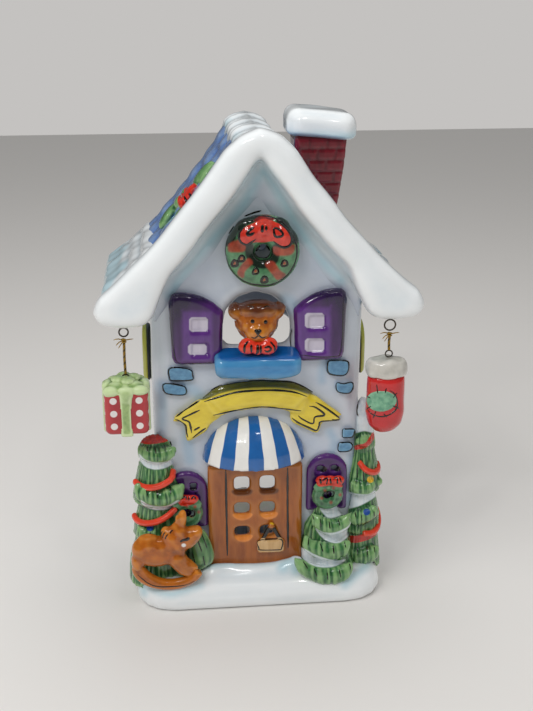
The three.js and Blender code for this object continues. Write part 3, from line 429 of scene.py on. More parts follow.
@dataclass
class Clay:
    """A soft, fused form that is modelled, painted and then fired into one Blender object."""

    points: np.ndarray
    faces: np.ndarray
    marks: dict[str, np.ndarray] = field(default_factory=dict)
    inks: list[Skin] = field(default_factory=list)

    @staticmethod
    def fused(skins: Sequence[Skin], voxel: float, passes: int) -> "Clay":
        """Fuses skins into one form, as a wet sponge does with luted clay.

        Args:
            skins: The closed skins that make the form.
            voxel: The grain of the fusing in millimetres.
            passes: How often the sponge goes over the form.

        Returns:
            The fused form.
        """
        obj = linked("clay", Skin.joined(skins).mesh("clay"))
        remesh = obj.modifiers.new("fuse", "REMESH")
        remesh.mode = "VOXEL"
        remesh.voxel_size = voxel
        sponge = obj.modifiers.new("sponge", "SMOOTH")
        sponge.factor = 0.5
        sponge.iterations = passes
        fine = obj.modifiers.new("fine", "SUBSURF")
        fine.levels = fine.render_levels = 1
        mesh = settled(obj)
        points = np.empty(len(mesh.vertices) * 3)
        mesh.vertices.foreach_get("co", points)
        faces = np.empty(len(mesh.polygons) * 4, dtype=np.int32)
        mesh.polygons.foreach_get("vertices", faces)
        bpy.data.meshes.remove(mesh)
        return Clay(points.reshape(-1, 3), faces.reshape(-1, 4))

    @staticmethod
    def copied(name: str, voxel: float, passes: int, swell: float, extra: Sequence[Skin] = ()) -> "Clay":
        """Fuses a copy of a node of the frame, with extra skins on it, and swells it a little."""
        return Clay.fused([Skin.of_node(name), *extra], voxel, passes).swell(swell)

    def skin(self) -> Skin:
        """Returns the form as a skin."""
        return Skin(self.points, [tuple(face) for face in self.faces.tolist()])

    def normals(self) -> np.ndarray:
        """Returns the outward direction at each point."""
        a, b, c, d = (self.points[self.faces[:, i]] for i in range(4))
        facing = np.cross(c - a, d - b)
        total = np.zeros_like(self.points)
        for i in range(4):
            for axis in range(3):
                total[:, axis] += np.bincount(self.faces[:, i], facing[:, axis], len(self.points))
        return unit(total)

    def swell(self, amount: float | np.ndarray) -> "Clay":
        """Moves the surface outwards by an amount in millimetres, and returns the form."""
        self.points = self.points + self.normals() * np.reshape(amount, (-1, 1))
        return self

    def wobble(self, amount: float, size: float, seed: int) -> "Clay":
        """Leaves soft unevenness of some height and wave length in millimetres, and returns the form."""
        return self.swell(amount * ripple(self.points, size, seed))

    def pool(self, passes: int = 14) -> np.ndarray:
        """Returns how hollow the surface is at each point, in millimetres, below zero on a ridge.

        Args:
            passes: How often the surface is smoothed to compare it with.

        Returns:
            The depth of the hollow at each point.
        """
        ends = np.roll(self.faces, 1, axis=1)
        first = np.concatenate([self.faces.reshape(-1), ends.reshape(-1)])
        last = np.concatenate([ends.reshape(-1), self.faces.reshape(-1)])
        share = np.maximum(np.bincount(first, minlength=len(self.points)), 1)
        soft = self.points
        for _ in range(passes):
            columns = [np.bincount(first, column[last], len(soft)) / share for column in soft.T]
            soft = np.stack(columns, axis=1)
        return np.sum((soft - self.points) * self.normals(), axis=1)

    def facing(self, limit: float = 0.08) -> np.ndarray:
        """Tells which points of the surface look towards the camera."""
        toward = unit(np.array(SIGHT.place) - self.points)
        return np.sum(toward * self.normals(), axis=1) > limit

    def mark(self, name: str, distance: np.ndarray) -> "Clay":
        """Adds a painted area, which is where the distance in millimetres is below zero.

        Args:
            name: The mark that the area belongs to.
            distance: The distance at each point.

        Returns:
            The form itself.
        """
        value = np.clip(distance, -OUTSIDE, OUTSIDE)
        self.marks[name] = np.minimum(self.marks.get(name, OUTSIDE), value)
        return self

    def fill(self, name: str, outline: Points, smooth: bool = True, grow: float = 0.0) -> "Clay":
        """Paints the inside of an outline that is given in the photograph's pixels.

        Args:
            name: The mark that the area belongs to.
            outline: The pixels of its closed outline.
            smooth: Whether the outline is drawn as one smooth curve.
            grow: How far the paint runs past the outline, in millimetres.

        Returns:
            The form itself.
        """
        edge = spline(outline, 1.5, closed=True) if smooth else np.array(outline, dtype=float)
        distance = outline_distance(SIGHT.pixels(self.points), edge) * SIGHT.scale(self.points) - grow
        return self.mark(name, np.where(self.facing(), distance, OUTSIDE))

    def brushed(self, name: str, pixels: Points, half: float) -> "Clay":
        """Paints along a path.

        Args:
            name: The mark that the stroke belongs to.
            pixels: The photograph's pixels that the path runs through.
            half: Half the brush's width in millimetres.

        Returns:
            The form itself.
        """
        path, seen = spline(pixels, 2.0), SIGHT.pixels(self.points)
        gap = np.full(len(seen), np.inf)
        for start, end in zip(path, path[1:]):
            gap = np.minimum(gap, off_run(seen, start, end - start))
        distance = gap * SIGHT.scale(self.points) - half
        return self.mark(name, np.where(self.facing(), distance, OUTSIDE))

    def dab(self, name: str, middle: Sequence[float], radii: Sequence[float]) -> "Clay":
        """Paints one round or oval dab, with its middle and radii in the photograph's pixels.

        Args:
            name: The mark that the dab belongs to.
            middle: Its middle.
            radii: Its radii across and down.

        Returns:
            The form itself.
        """
        seen = (SIGHT.pixels(self.points) - np.array(middle)) / np.array(radii)
        distance = (np.linalg.norm(seen, axis=1) - 1) * min(radii) * SIGHT.scale(self.points)
        return self.mark(name, np.where(self.facing(), distance, OUTSIDE))

    def fire(self, name: str, slot: str, glaze: "Glaze | Stuff", body: Body = Body.HOUSE) -> None:
        """Makes the Blender object of the form and ties it to the frame.

        Args:
            name: The node of the frame that the piece stands for.
            slot: The record's material slot, which is passed on to ride.
            glaze: The glaze of its surface.
            body: The body that it rides on.
        """
        clay = self.skin()
        whole = Skin.joined([clay] + self.inks)
        mesh = whole.mesh(name, METRES)
        for mark, value in {"pool": self.pool(), **self.marks}.items():
            padded = np.concatenate([value, np.zeros(len(whole.points) - len(value))])
            mesh.attributes.new(mark, "FLOAT", "POINT").data.foreach_set("value", padded)
        mesh.materials.append(glaze.material(tuple(self.marks)))
        if self.inks:
            mesh.materials.append(INK.material())
            painted = [0] * len(clay.faces) + [1] * (len(whole.faces) - len(clay.faces))
            mesh.polygons.foreach_set("material_index", painted)
        mesh.shade_smooth()
        ride(linked(name + "_look", mesh), slot, body, (name,))


def ride(obj: bpy.types.Object, slot: str, body: Body, replaces: Sequence[str]) -> None:
    """Ties a finished object to the frame.

    Args:
        obj: The object, at the origin.
        slot: The record's material slot, which is not used.
        body: The body that it rides on.
        replaces: The nodes of the frame that it stands for.
    """
    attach(obj, body.value)
    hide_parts(*replaces)
    log.info("%s: %d faces on %s", obj.name, len(obj.data.polygons), body.value)


class Canvas:
    """The visible faces of some forms and of the front wall, which brush lines are thrown onto."""

    WALL = Skin(
        np.array([(-47, -27.4, 16), (47, -27.4, 16), (47, -27.4, 150), (0, -27.4, 205), (-47, -27.4, 150)]),
        [(0, 1, 2, 3, 4)],
    )

    def __init__(self, *clays: Clay) -> None:
        """Joins the faces of the forms for the brush to find."""
        whole = Skin.joined([self.WALL, *(clay.skin() for clay in clays)])
        self.tree = BVHTree.FromPolygons(whole.points.tolist(), whole.faces)

    def hit(self, pixel: Sequence[float]) -> tuple[Vector | None, Vector | None]:
        """Returns the point that a pixel shows and the surface's outward direction there."""
        return self.tree.ray_cast(*SIGHT.ray(pixel))[:2]

    def applique(self, outline: Points, lift: float) -> Skin:
        """Lays a thin sheet of clay over the surface, inside an outline in the photograph's pixels.

        Args:
            outline: The pixels of its closed outline.
            lift: Its thickness in millimetres.

        Returns:
            The closed skin of the sheet.
        """
        edge = spline(outline, 1.5, closed=True)[:-1]
        middle = edge.mean(0)
        rings = []
        for share, up in ((0.1, -1.0), (1.0, -1.0), (1.0, 0.5), (0.92, 1.0), (0.6, 1.1), (0.1, 1.1)):
            ring = []
            for pixel in middle + (edge - middle) * share:
                place, normal = self.hit(pixel)
                ring.append(place + normal * lift * up)
            rings.append(ring)
        return Skin.loft(np.array(rings))

    def line(self, pixels: Points, width: float, closed: bool = False, lift: float = 0.12) -> list[Skin]:
        """Draws a brush line, as low enamel that follows the surface.

        Args:
            pixels: The photograph's pixels that the line runs through.
            width: The width of the line in millimetres.
            closed: Whether the line returns to its start.
            lift: How far the enamel stands above the surface, in millimetres.

        Returns:
            One skin for each unbroken run of the line.
        """
        runs: list[list[tuple[Vector, Vector]]] = [[]]
        for pixel in spline(pixels, 1.3, closed):
            place, normal = self.hit(pixel)
            if place is None or (runs[-1] and (place - runs[-1][-1][0]).length > 2.5):
                runs.append([])
            if place is not None:
                runs[-1].append((place, normal))
        bands = []
        for run in runs:
            if len(run) > 3:
                path, normals = (np.array([item[i] for item in run]) for i in (0, 1))
                bands.append(self.band(path, normals, width, lift, closed))
        return bands

    def lines(self, strokes: Sequence[Points], width: float, lift: float = 0.12) -> list[Skin]:
        """Draws several brush lines of one width."""
        return [skin for stroke in strokes for skin in self.line(stroke, width, lift=lift)]

    def spots(self, pixels: Points, radius: float, lift: float = 0.25) -> list[Skin]:
        """Sets round beads of enamel, with their radius in millimetres, at the photograph's pixels.

        Args:
            pixels: The photograph's pixels of their middles.
            radius: The radius of a bead.
            lift: How far a bead stands above the surface.

        Returns:
            One closed skin for each bead.
        """
        beads = []
        for pixel in pixels:
            place, normal = self.hit(pixel)
            if place is None:
                continue
            side = normal.orthogonal().normalized()
            over = normal.cross(side)
            rings = []
            for share, up in ((0.3, -0.6), (1.0, -0.1), (0.8, 0.6), (0.3, 1.0)):
                turns = [2 * math.pi * i / 12 for i in range(12)]
                ring = [side * math.cos(turn) + over * math.sin(turn) for turn in turns]
                rings.append([place + way * (radius * share) + normal * (lift * up) for way in ring])
            beads.append(Skin.loft(np.array(rings)[::-1]))
        return beads

    @staticmethod
    def band(path: np.ndarray, normals: np.ndarray, width: float, lift: float, closed: bool) -> Skin:
        """Lays a low band of enamel along a path on a surface.

        Args:
            path: The points of the path on the surface.
            normals: The surface's outward direction at each of them.
            width: The width of the band.
            lift: The height of the band.
            closed: Whether the band keeps its width at its ends.

        Returns:
            The closed skin of the band.
        """
        side = unit(np.cross(np.gradient(path, axis=0), normals))
        along = np.linspace(0, 1, len(path))
        taper = np.ones(len(path)) if closed else np.clip(np.minimum(along, 1 - along) * 5 + 0.35, 0, 1)
        wide = width * taper * (1 + 0.2 * ripple(path, 6.0, 11))
        section = ((-0.5, -0.1), (-0.3, 0.75), (0.0, 1.0), (0.3, 0.75), (0.5, -0.1), (0.0, -1.5))
        rows = [path + side * (wide * across)[:, None] + normals * lift * up for across, up in section]
        return Skin.loft(np.stack(rows, axis=1))


def linear(code: str) -> tuple[float, float, float, float]:
    """Turns a hex sRGB colour into the linear colour that a shader takes."""
    parts = [int(code[i : i + 2], 16) / 255 for i in (1, 3, 5)]
    red, green, blue = (p / 12.92 if p <= 0.04045 else ((p + 0.055) / 1.055) ** 2.4 for p in parts)
    return red, green, blue, 1.0


def node(
    tree: bpy.types.NodeTree, kind: str, inputs: dict[Any, Any] | None = None, **settings: Any
) -> bpy.types.Node:
    """Adds one node to a tree.

    Args:
        tree: The tree that the node joins.
        kind: The node's Blender type.
        inputs: A value, or the output socket to link, for each input by its name or number.
        settings: The node's own properties.

    Returns:
        The node.
    """
    made = tree.nodes.new(kind)
    for key, value in settings.items():
        setattr(made, key, value)
    for key, value in (inputs or {}).items():
        if isinstance(value, bpy.types.NodeSocket):
            tree.links.new(value, made.inputs[key])
        else:
            made.inputs[key].default_value = value
    return made


def blank(name: str) -> tuple[bpy.types.Material, bpy.types.NodeTree]:
    """Makes a material whose node tree is empty, and returns both."""
    made = bpy.data.materials.new(name)
    made.use_nodes = True
    made.node_tree.nodes.clear()
    return made, made.node_tree


def blend(tree: bpy.types.NodeTree, share: Socket, first: Any, second: Any) -> Socket:
    """Adds a node that mixes two colours by a share, and returns its colour."""
    return node(tree, "ShaderNodeMix", {0: share, 6: first, 7: second}, data_type="RGBA").outputs[2]


def ramp(
    tree: bpy.types.NodeTree, value: Socket, low: float, high: float, most: float = 1.0, **settings: Any
) -> Socket:
    """Adds a node that maps low to 0 and high to the most, and returns its result."""
    levels = {"Value": value, "From Min": low, "From Max": high, "To Max": most}
    return node(tree, "ShaderNodeMapRange", levels, **settings).outputs[0]


def closed_off(made: bpy.types.Material, surface: dict[str, Any]) -> bpy.types.Material:
    """Ends a material with the shader of a surface, and returns it.

    Args:
        made: The material, with the nodes that its surface needs.
        surface: The shader's inputs by their names.

    Returns:
        The material.
    """
    shader = node(made.node_tree, "ShaderNodeBsdfPrincipled", surface)
    node(made.node_tree, "ShaderNodeOutputMaterial", {"Surface": shader.outputs[0]})
    return made


def streaked(tree: bpy.types.NodeTree, place: Socket, streak: Sequence[float], **look: float) -> Socket:
    """Adds noise whose grain has a streak's size in millimetres, and returns its value.

    Args:
        tree: The tree that the nodes join.
        place: The socket that says where a point is.
        streak: The grain's size along X, Y and Z.
        look: The noise's own inputs.

    Returns:
        The socket of the noise's value.
    """
    sizes = [1 / (METRES * size) for size in streak]
    brush = node(tree, "ShaderNodeMapping", {"Vector": place, "Scale": sizes}).outputs[0]
    return node(tree, "ShaderNodeTexNoise", {"Vector": brush, "Scale": 1.0, **look}).outputs[0]


@dataclass(frozen=True)
class Paint:
    """One colour laid over a glaze's ground where a mark of the clay says so; most are underglaze colours,
    some are painted shade and painted highlight.
    """

    mark: str
    base: str
    deep: str
    soft: float = 0.16
    cover: float = 1.0


@dataclass(frozen=True)
class Glaze:
    """Underglaze colour brushed on white clay and closed with a clear, poured gloss glaze.

    The ground runs from base to deep in brush streaks, thins to light over ridges and pools to deep
    in hollows. Streaks are sized in millimetres along X, Y and Z. PULL is the size of the poured
    glaze's unevenness in millimetres, and INDEX its refraction.
    """

    PULL = 8.0
    INDEX = 1.5

    name: str
    base: str
    deep: str
    light: str
    streak: tuple[float, float, float] = (9.0, 9.0, 9.0)
    cover: float = 0.5
    pool: float = 0.5
    roughness: float = 0.16
    paints: tuple[Paint, ...] = ()

    def material(self, marks: tuple[str, ...] = ()) -> bpy.types.Material:
        """Makes the material, or finds the one that was made for the same marks.

        Args:
            marks: The painted marks that the piece carries.

        Returns:
            The material.
        """
        used = tuple(paint for paint in self.paints if paint.mark in marks)
        name = "_".join([self.name] + [paint.mark for paint in used])
        if name in bpy.data.materials:
            return bpy.data.materials[name]
        made, tree = blank(name)
        place = node(tree, "ShaderNodeTexCoord").outputs["Object"]
        brush = streaked(tree, place, self.streak, Detail=4.0, Roughness=0.6)
        streaks = ramp(tree, brush, 0.36, 0.68, self.cover)
        colour = blend(tree, streaks, linear(self.base), linear(self.deep))
        hollow = node(tree, "ShaderNodeAttribute", attribute_name="pool").outputs["Fac"]
        for shade, low, high in ((self.light, -0.02, -0.2), (self.deep, 0.02, 0.15)):
            colour = blend(tree, ramp(tree, hollow, low, high, self.pool), colour, linear(shade))
        for paint in used:
            tone = blend(tree, streaks, linear(paint.base), linear(paint.deep))
            edge = node(tree, "ShaderNodeAttribute", attribute_name=paint.mark).outputs["Fac"]
            share = ramp(tree, edge, paint.soft, -paint.soft, paint.cover, interpolation_type="SMOOTHSTEP")
            colour = blend(tree, share, colour, tone)
        pull = {"Vector": place, "Scale": 1 / (METRES * self.PULL), "Detail": 1.0}
        run = node(tree, "ShaderNodeTexNoise", pull).outputs[0]
        bump = {"Height": run, "Strength": 0.3, "Distance": 0.35 * METRES}
        surface = {
            "Base Color": colour,
            "Normal": node(tree, "ShaderNodeBump", bump).outputs[0],
            "Roughness": self.roughness,
            "IOR": self.INDEX,
            "Coat Weight": 0.7,
            "Coat Roughness": 0.03,
            "Coat IOR": self.INDEX,
        }
        return closed_off(made, surface)


@dataclass(frozen=True)
class Stuff:
    """A metal, thread or wax: a ground with fine grain, and no painted marks."""

    name: str
    base: str
    deep: str
    grain: tuple[float, float, float]
    metallic: float = 0.0
    roughness: float = 0.5
    subsurface: float = 0.0

    def material(self, marks: tuple[str, ...] = ()) -> bpy.types.Material:
        """Makes the material, or finds it if it was made before; marks don't show on it.

        Args:
            marks: The painted marks of the piece, which are not used.

        Returns:
            The material.
        """
        if self.name in bpy.data.materials:
            return bpy.data.materials[self.name]
        made, tree = blank(self.name)
        place = node(tree, "ShaderNodeTexCoord").outputs["Object"]
        fibre = streaked(tree, place, self.grain, Detail=5.0)
        share = ramp(tree, fibre, 0.35, 0.65)
        bump = {"Height": fibre, "Strength": 0.5, "Distance": 0.08 * METRES}
        surface = {
            "Base Color": blend(tree, share, linear(self.base), linear(self.deep)),
            "Normal": node(tree, "ShaderNodeBump", bump).outputs[0],
            "Metallic": self.metallic,
            "Roughness": self.roughness,
            "Subsurface Weight": self.subsurface,
            "Subsurface Scale": 2 * METRES,
        }
        return closed_off(made, surface)


# Near-black underglaze line, which reads as soft, slightly brown black under gloss.
INK = Glaze("black_underglaze_line", "#0E0C0A", "#070605", "#161310", cover=0.4)
# Cold white earthenware, with a thin blue-green wash where the brush passed.
SNOW = Glaze(
    "white_gloss_snow", "#E9EEF0", "#D3DFE6", "#F3F5F5", (16, 16, 16), 0.45, 0.7,
    paints=(Paint("lilac", "#BCC4D2", "#A9B7CA", 2.5, 0.9), Paint("wash", "#A4D0DC", "#8ABED0", 2.6, 0.65)),
)
# A grey-lilac slip under the same clear glaze, with painted shade, darker and bluer, on the front wall under
# the roof.
WALL = Glaze(
    "pale_lilac_wall_glaze", "#CBD2DD", "#B4C1D2", "#DDE2E8", (24, 24, 14), 0.55, 0.5,
    paints=(
        Paint("shade", "#8E9BB0", "#7F90A8", 9.0, 0.5),
        Paint("wash", "#8FB6CF", "#7EA6C6", 2.2, 0.55),
    ),
)
# Mid blue brushed thin along each tile, darker where it pools between the courses.
TILE = Glaze("blue_roof_glaze", "#6F92C4", "#4468AC", "#A6BEDD", (2.0, 5.0, 2.0), 0.75, 0.7)
# Maroon brushed in courses, with darker joints.
BRICK = Glaze(
    "maroon_brick_glaze", "#720C1C", "#500814", "#8A1E2E", (2.5, 2.5, 7.0), 0.8, 0.5,
    paints=(Paint("joint", "#4A0A16", "#3A0810", 0.5, 0.45),),
)
# Fir green in upright strokes over lighter green, with snow, red, blue and gold touches.
GREEN = Glaze(
    "fir_green_glaze", "#3F7A45", "#1F4A2A", "#86AF72", (1.3, 1.3, 8.0), 0.95, 0.9,
    paints=(
        Paint("snow", "#E6ECEE", "#C9D8E0", 0.35),
        Paint("red", "#D8331F", "#A81D16", 0.16),
        Paint("blue", "#1E4FA0", "#163C80", 0.16),
        Paint("gold", "#E2B92C", "#C0921C", 0.16),
    ),
)
# Leaf green with a red brushed bow; the green is patchy, as on a printed wreath.
WREATH = Glaze(
    "leaf_green_wreath_glaze", "#4C8158", "#214A2E", "#8DBE8C", (3.0, 3.0, 3.0), 0.9, 0.5,
    paints=(
        Paint("edge", "#14281A", "#0C1A10", 0.5),
        Paint("rust", "#A8402A", "#7A2A1C", 0.6, 0.9),
        Paint("dark", "#8E1A14", "#66100C", 0.5),
        Paint("red", "#DE3A24", "#B82418", 0.2),
        Paint("hole", "#767C84", "#5A6068", 0.2),
    ),
)
# Deep purple, with painted shade, nearly black, over the top and outer side of each shutter under the roof;
# it breaks to violet round the panes.
PURPLE = Glaze(
    "deep_purple_glaze", "#3E1256", "#260C3C", "#5A2C78", (4.0, 4.0, 12.0), 0.7, 0.7,
    paints=(
        Paint("night", "#1C0C38", "#120826", 2.6, 0.85),
        Paint("halo", "#6C3A94", "#54267A", 1.2, 0.6),
        Paint("pane", "#C9C2D0", "#B4ACBE", 0.3),
        # black is painted shade, where the niches' small holes look dark inside.
        Paint("black", "#15101A", "#0D0A10", 0.2),
    ),
)
# Bright blue that breaks to sky blue on its lip, and is deeper on its flat top.
SILL = Glaze(
    "bright_blue_glaze", "#3A84B8", "#24689E", "#6CACD2", (9.0, 5.0, 3.0), 0.6, 0.5,
    paints=(Paint("top", "#1560A8", "#0E4A8C", 0.8),),
)
# Honey brown with darker brush marks, darkest on the crown.
BEAR = Glaze(
    "brushed_honey_brown_glaze", "#B8661C", "#7E3A0C", "#D8933C", (3.0, 3.0, 5.0), 0.7, 0.8,
    paints=(Paint("crown", "#4A1A08", "#2E0F05", 2.6, 0.92),
            Paint("muzzle", "#CC8226", "#B2661A", 1.4, 0.7)),
)
# Warm, bright red for bows and garlands, a little orange where the glaze runs thin.
RED = Glaze("bright_red_glaze", "#DC3218", "#AE1C12", "#EE5A3C", (4.0, 4.0, 4.0), 0.5, 0.6)
# Sunny yellow, with a painted shadow, olive, along the banner's folded top edge under the sill.
YELLOW = Glaze(
    "yellow_banner_glaze", "#E6CD34", "#CDB026", "#F4E26E", (8.0, 8.0, 4.0), 0.6, 0.4,
    paints=(Paint("top", "#6E6C1C", "#4A480E", 0.5),),
)
# Warm white with clean, strong blue stripes.
AWNING = Glaze(
    "white_awning_glaze", "#EDEBE6", "#DAD9D6", "#F8F6F2", (5.0, 5.0, 14.0), 0.4, 0.4,
    paints=(Paint("stripe", "#1F63A8", "#174E8C", 0.14),),
)
# Brown brushed upright, with painted highlight, orange, on the lower pane ledges and painted shade, dark
# brown, at the foot of the top panes.
DOOR = Glaze(
    "brushed_brown_door_glaze", "#A85C1C", "#803E0E", "#BE7630", (3.0, 3.0, 18.0), 0.75, 0.5,
    paints=(
        Paint("ledge", "#E08A3A", "#C8702A", 0.35),
        Paint("dusk", "#5A2A0C", "#3E1B07", 0.6, 0.85),
        Paint("black", "#15120F", "#0D0B09", 0.2),
        Paint("tan", "#D8B482", "#BE9258", 0.2),
        Paint("gold", "#E2B92C", "#C0921C", 0.16),
    ),
)
# Blue wash over white clay, so that each stone is pale on its edges.
STONE = Glaze("washed_blue_stone_glaze", "#5E94B6", "#3A6C94", "#93BCD2", (3.0, 3.0, 2.0), 0.8, 0.6)
# Yellow-green frame round a dark pane.
LIME = Glaze(
    "lime_window_glaze", "#A8A832", "#7E8420", "#C9C860", (5.0, 5.0, 8.0), 0.5, 0.5,
    paints=(Paint("black", "#23261A", "#181A12", 0.3),),
)
# Toffee brown that pools, with painted shade, nearly to umber in the hollows between the legs, with one white
# touch under the head.
HORSE = Glaze(
    "orange_brown_glaze", "#B45E0E", "#6E3406", "#D0802A", (6.0, 6.0, 4.0), 0.7, 0.9,
    paints=(Paint("white", "#EDEBE6", "#DAD9D6", 0.3),),
)
# Deeper, cooler red than the bows, with off-white dots.
GIFT = Glaze(
    "gift_red_glaze", "#AC1520", "#800E18", "#C43038", (6.0, 6.0, 6.0), 0.5, 0.5,
    paints=(Paint("dots", "#E9E4E0", "#D4CCC8", 0.16),),
)
# Pale celery green that darkens in the folds.
RIBBON = Glaze("pale_green_ribbon_glaze", "#A3BC78", "#6F9050", "#CBDDA8", (3.0, 3.0, 3.0), 0.8, 1.0)
# Greyish white, like worn wool.
CUFF = Glaze("grey_white_cuff_glaze", "#C6C2B8", "#9C9A94", "#DEDAD2", (4.0, 4.0, 4.0), 0.6, 0.7)
# Saturated, glossy red.
MITTEN = Glaze("mitten_red_glaze", "#C4121B", "#930D15", "#D8342E", (6.0, 6.0, 8.0), 0.5, 0.5)
# Sea green, patchy from light mint to deep green.
PATCH = Glaze("sea_green_patch_glaze", "#7FB591", "#46866A", "#B2D8BC", (3.0, 3.0, 3.0), 0.95, 0.5)
# Iron wire, darkened by the kiln and a little rough.
WIRE = Stuff("dull_aged_wire", "#6B6256", "#3D372F", (0.8, 0.8, 0.8), 0.9, 0.45)
# Metallised and black embroidery strands, twisted together.
GOLD_THREAD = Stuff("gold_thread", "#C29A3A", "#7A5A1A", (0.4, 0.4, 0.4), 0.6, 0.4)
BLACK_THREAD = Stuff("black_thread", "#2A2418", "#14110C", (0.4, 0.4, 0.4), 0.0, 0.6)
# Thin drawn aluminium with a soft, satin shine.
CUP = Stuff("drawn_aluminium_cup", "#C8CCD0", "#AEB2B7", (1.2, 1.2, 12.0), 0.95, 0.35)
# Warm white wax that lets a little light in.
WAX = Stuff("white_paraffin_wax", "#F3EFE2", "#E9E3D0", (6.0, 6.0, 6.0), 0.0, 0.5, 0.3)
# Matt, unburnt cotton braid.
WICK = Stuff("braided_cotton_wick", "#E6E0CF", "#A89E86", (0.5, 0.5, 0.5), 0.0, 0.9)


def grown(name: str, sizes: Sequence[str]) -> tuple[bpy.types.NodeTree, bpy.types.NodeOutputs]:
    """Makes a Geometry Nodes tree that takes a geometry, some sizes and a finish.

    Args:
        name: The tree's name.
        sizes: The names of its number inputs.

    Returns:
        The tree and the sockets of all it takes.
    """
    tree = bpy.data.node_groups.new(name, "GeometryNodeTree")
    kinds = {"Geometry": "Geometry", **dict.fromkeys(sizes, "Float"), "Finish": "Material"}
    for socket, kind in kinds.items():
        tree.interface.new_socket(socket, in_out="INPUT", socket_type="NodeSocket" + kind)
    tree.interface.new_socket("Geometry", in_out="OUTPUT", socket_type="NodeSocketGeometry")
    return tree, node(tree, "NodeGroupInput").outputs


def handed_out(tree: bpy.types.NodeTree, shape: Socket, finish: Socket) -> bpy.types.NodeTree:
    """Ends a Geometry Nodes tree: makes its shape real, gives it the finish and hands it out.

    Args:
        tree: The tree.
        shape: The socket of its shape.
        finish: The socket of its material.

    Returns:
        The tree.
    """
    whole = node(tree, "GeometryNodeRealizeInstances", {0: shape})
    dressed = node(tree, "GeometryNodeSetMaterial", {0: whole.outputs[0], "Material": finish})
    node(tree, "NodeGroupOutput", {0: dressed.outputs[0]})
    return tree


def shaped(mesh: bpy.types.Mesh, tree: bpy.types.NodeTree, values: dict[str, Any]) -> bpy.types.Mesh:
    """Runs a mesh through a Geometry Nodes tree.

    Args:
        mesh: The mesh that the tree takes, which is used up.
        tree: The tree.
        values: What its other inputs are set to, by their names.

    Returns:
        The mesh that comes out.
    """
    obj = linked(mesh.name, mesh)
    nodes = obj.modifiers.new("nodes", "NODES")
    nodes.node_group = tree
    for item in tree.interface.items_tree:
        if item.in_out == "INPUT" and item.name in values:
            nodes[item.identifier] = values[item.name]
    return settled(obj)


class StampTree:
    """Geometry Nodes that press one lump of clay at every point of a mesh."""

    NAME = "pressed_lumps"
    SEED = 7

    @classmethod
    def tree(cls) -> bpy.types.NodeTree:
        """Makes the tree, or finds it if it was made before.

        Returns:
            The tree.
        """
        if cls.NAME in bpy.data.node_groups:
            return bpy.data.node_groups[cls.NAME]
        tree, given = grown(cls.NAME, ("Width", "Length", "Thickness", "Unevenness"))
        ball = node(tree, "GeometryNodeMeshIcoSphere", {"Radius": 0.5, "Subdivisions": 2})
        sizes = {0: given["Width"], 1: given["Length"], 2: given["Thickness"]}
        size = node(tree, "ShaderNodeCombineXYZ", sizes)
        least = node(tree, "ShaderNodeMath", {0: 1.0, 1: given["Unevenness"]}, operation="SUBTRACT")
        draw = {2: least.outputs[0], 3: 1.0, "Seed": cls.SEED}
        share = node(tree, "FunctionNodeRandomValue", draw, data_type="FLOAT")
        shrunk = {0: size.outputs[0], "Scale": share.outputs[1]}
        scale = node(tree, "ShaderNodeVectorMath", shrunk, operation="SCALE")
        turn = node(tree, "GeometryNodeInputNamedAttribute", {"Name": "turn"}, data_type="FLOAT_VECTOR")
        pressed = {
            "Points": given["Geometry"],
            "Instance": ball.outputs["Mesh"],
            "Rotation": turn.outputs[0],
            "Scale": scale.outputs[0],
        }
        stamps = node(tree, "GeometryNodeInstanceOnPoints", pressed)
        return handed_out(tree, stamps.outputs[0], given["Finish"])

    @classmethod
    def pressed(
        cls, places: Points, turns: Points, size: Sequence[float], uneven: float, finish: Glaze
    ) -> Skin:
        """Presses lumps of one size at a list of places.

        Args:
            places: The middle of each lump.
            turns: The turn of each lump about X, Y and Z in radians.
            size: The width, length and thickness of a lump.
            uneven: How much smaller than that size a lump may be, as a share.
            finish: The glaze that the lumps carry.

        Returns:
            The lumps, as one skin.
        """
        mesh = bpy.data.meshes.new("stamps")
        mesh.from_pydata([tuple(place) for place in places], [], [])
        mesh.attributes.new("turn", "FLOAT_VECTOR", "POINT").data.foreach_set("vector", np.ravel(turns))
        sizes = {"Width": size[0], "Length": size[1], "Thickness": size[2], "Unevenness": uneven}
        return Skin.of_mesh(shaped(mesh, cls.tree(), {**sizes, "Finish": finish.material()}))


